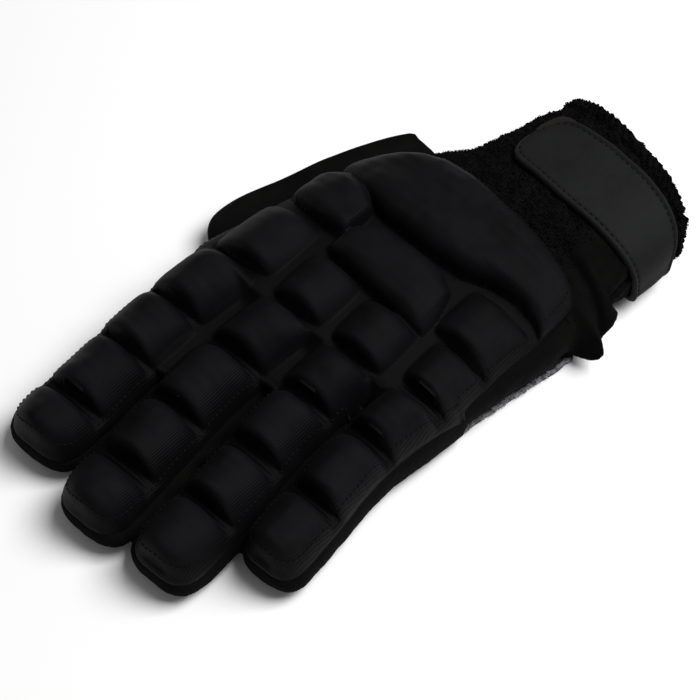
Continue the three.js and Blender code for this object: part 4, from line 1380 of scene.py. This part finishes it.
points, faces = build_strap(*(((260, 76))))
strap = new_object("hook_strap", points, faces, strap_mat)
fix_normals(strap)
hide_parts("wrist_strap")
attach(strap, "root")


def backing_tab(steps, count):
    """Loop backing that peeks out under the strap's free end."""
    turns = 2 * math.pi * np.arange(steps) / steps
    rings = []
    for top, radii in ((True, np.linspace(0.02, 1, count)), (False, np.linspace(1, 0.02, count))):
        for radius in radii:
            along = TAB_ALONG + TAB_LENGTH / 2 * radius * signed_power(np.sin(turns), 2 / 3)
            turn = TAB_TURN + TAB_SPREAD * radius * signed_power(np.cos(turns), 2 / 3)
            rise = TAB_RISE * math.sqrt(max(1 - radius**8, 0)) if top else 0
            rings.append(cuff_point(along, turn, 0.2 + rise))
    return tube_mesh(rings)


points, faces = backing_tab(72, 12)
tab = new_object("strap_backing", points, faces, tab_mat)
fix_normals(tab)
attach(tab, "root")


def strap_seam():
    """Line of the border stitches around the strap."""
    s = np.linspace(0.03, 1, 400)
    width = STRAP_WIDTH * (STRAP_C["high"](s) - STRAP_C["low"](s))
    inset = STRAP_SEAM_INSET / np.maximum(width, 2 * STRAP_SEAM_INSET)
    low = np.stack([s, inset], -1)
    high = np.stack([s, 1 - inset], -1)
    end = np.stack([np.full(40, 0.03), np.linspace(inset[0], 1 - inset[0], 40)], -1)
    return np.concatenate([low[::-1], end, high])


line = strap_seam()
s, t = line[:, 0], line[:, 1]
middle = strap_surface(s, t, strap_rise(s, t))
above = strap_surface(s, t, strap_rise(s, t) + 1)
places = evenly(middle, 2.6, False)
lengths = np.concatenate([[0], np.cumsum(np.linalg.norm(np.diff(middle, axis=0), axis=1))])
where = (np.arange(len(places)) + 0.5) * lengths[-1] / len(places)
ups = np.stack([np.interp(where, lengths, (above - middle)[:, k]) for k in range(3)], -1)
scales = np.tile([1.9, 0.5, 0.45], (len(places), 1))
points, faces = scattered(
    stitch_points, stitch_faces, places, frames_on(line_tangents(places, False), ups), scales
)
strap_stitches = new_object("strap_stitches", points, faces, thread_mat)
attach(strap_stitches, "root")


# Palm patch
SIDE_REACH = 1.1


def closed_curve(xs, ys, count):
    """Smooth closed outline through a table of points."""
    points = np.stack([xs, ys], -1)
    n = len(points)
    result = []
    for k in range(n):
        p0, p1, p2, p3 = (points[(k + j) % n] for j in (-1, 0, 1, 2))
        for s in np.linspace(0, 1, count // n, endpoint=False):
            result.append(
                0.5
                * (
                    2 * p1
                    + (p2 - p0) * s
                    + (2 * p0 - 5 * p1 + 4 * p2 - p3) * s**2
                    + (3 * p1 - p0 - 3 * p2 + p3) * s**3
                )
            )
    return np.array(result)


outline = closed_curve(np.array(PATCH["x"]) * HAND_WIDTH, np.array(PATCH["y"]) * HAND_LENGTH, 360)
near_side = np.clip((outline[:, 0] - 36) / 4, 0, 1)
before_wrist = np.clip((70 - outline[:, 1]) / 8, 0, 1)
outline[:, 0] += SIDE_REACH * near_side * before_wrist
low_ring = np.column_stack([outline, np.zeros(len(outline))])
high_ring = np.column_stack([outline, np.full(len(outline), PATCH_THICKNESS)])
points, faces = tube_mesh([low_ring, high_ring])
patch = new_object("palm_sheet", points, faces, suede_mat)
fix_normals(patch)
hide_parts("palm_patch")
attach(patch, "root")


def frayed_edge():
    """Raw silvery fibres along the little-finger side of the palm sheet."""
    random = np.random.default_rng(41)
    edge = outline[(outline[:, 0] > 38) & (outline[:, 1] > 2) & (outline[:, 1] < 58)]
    edge = edge[np.argsort(edge[:, 1])]
    line = evenly(np.column_stack([edge, np.full(len(edge), PATCH_THICKNESS)]), 0.09, False)
    count = len(line)
    along = line_tangents(line, False)
    across = random.uniform(-1.1, 0.5, count) + 0.5 * noise_field(line, 9, 42)
    line = line + np.column_stack([across, 0 * across, 0.35 - 0.25 * np.abs(across)])
    along = along / np.linalg.norm(along, axis=1, keepdims=True)
    along = along + random.normal(scale=0.6, size=along.shape)
    frames = frames_on(along, np.tile([0.5, 0.0, 1.0], (count, 1)))
    lump = 0.6 + 0.4 * noise_field(line, 5, 43)
    length = random.uniform(0.6, 1.8, count)
    width = random.uniform(0.15, 0.4, count)
    height = random.uniform(0.4, 1.3, count) * lump
    scales = np.column_stack([length, width, height])
    return scattered(*loop_shape(), line, frames, scales)


points, faces = frayed_edge()
palm_fray = new_object("palm_fray", points, faces, fray_mat)
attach(palm_fray, "root")


# Stage, camera and light
FLOOR_REACH = 3000
floor_mat = material("floor_pale", (0.9, 0.9, 0.9), 0.9)[0]
corners = [(x * FLOOR_REACH, y * FLOOR_REACH, 0) for x, y in ((-1, -1), (1, -1), (1, 1), (-1, 1))]
floor = new_object("floor", corners, [[0, 1, 2, 3]], floor_mat)

CAMERA_AZIMUTH = math.radians(42)
CAMERA_ELEVATION = math.radians(55)
CAMERA_DISTANCE = 0.9
CAMERA_TARGET = Vector((0, 0, 0.020))
PIXELS_PER_FRAME = 700
FOCAL_PIXELS = 2655
back = Vector(
    (
        math.sin(CAMERA_AZIMUTH) * math.cos(CAMERA_ELEVATION),
        -math.cos(CAMERA_AZIMUTH) * math.cos(CAMERA_ELEVATION),
        math.sin(CAMERA_ELEVATION),
    )
)
camera_data = bpy.data.cameras.new("camera")
camera_data.sensor_width = 36
camera_data.lens = 36 * FOCAL_PIXELS / PIXELS_PER_FRAME
camera = bpy.data.objects.new("camera", camera_data)
bpy.context.collection.objects.link(camera)
camera.location = CAMERA_TARGET + back * CAMERA_DISTANCE
camera.rotation_mode = "QUATERNION"
camera.rotation_quaternion = (-back).to_track_quat("-Z", "Y")
camera_data.clip_start = 0.01
bpy.context.scene.camera = camera


def area_light(name, place, size, power):
    data = bpy.data.lights.new(name, "AREA")
    data.size = size
    data.energy = power
    made = bpy.data.objects.new(name, data)
    made.location = place
    made.rotation_mode = "QUATERNION"
    made.rotation_quaternion = (Vector((0, 0, 0.02)) - Vector(place)).to_track_quat("-Z", "Y")
    bpy.context.collection.objects.link(made)
    return made


area_light("key", (0.5, 0.45, 1.2), 0.8, 24)
world = bpy.data.worlds.new("studio")
bpy.context.scene.world = world
world.use_nodes = True
world.node_tree.nodes["Background"].inputs["Color"].default_value = (1, 1, 1, 1)
world.node_tree.nodes["Background"].inputs["Strength"].default_value = 0.2
bpy.context.scene.view_settings.view_transform = "Standard"
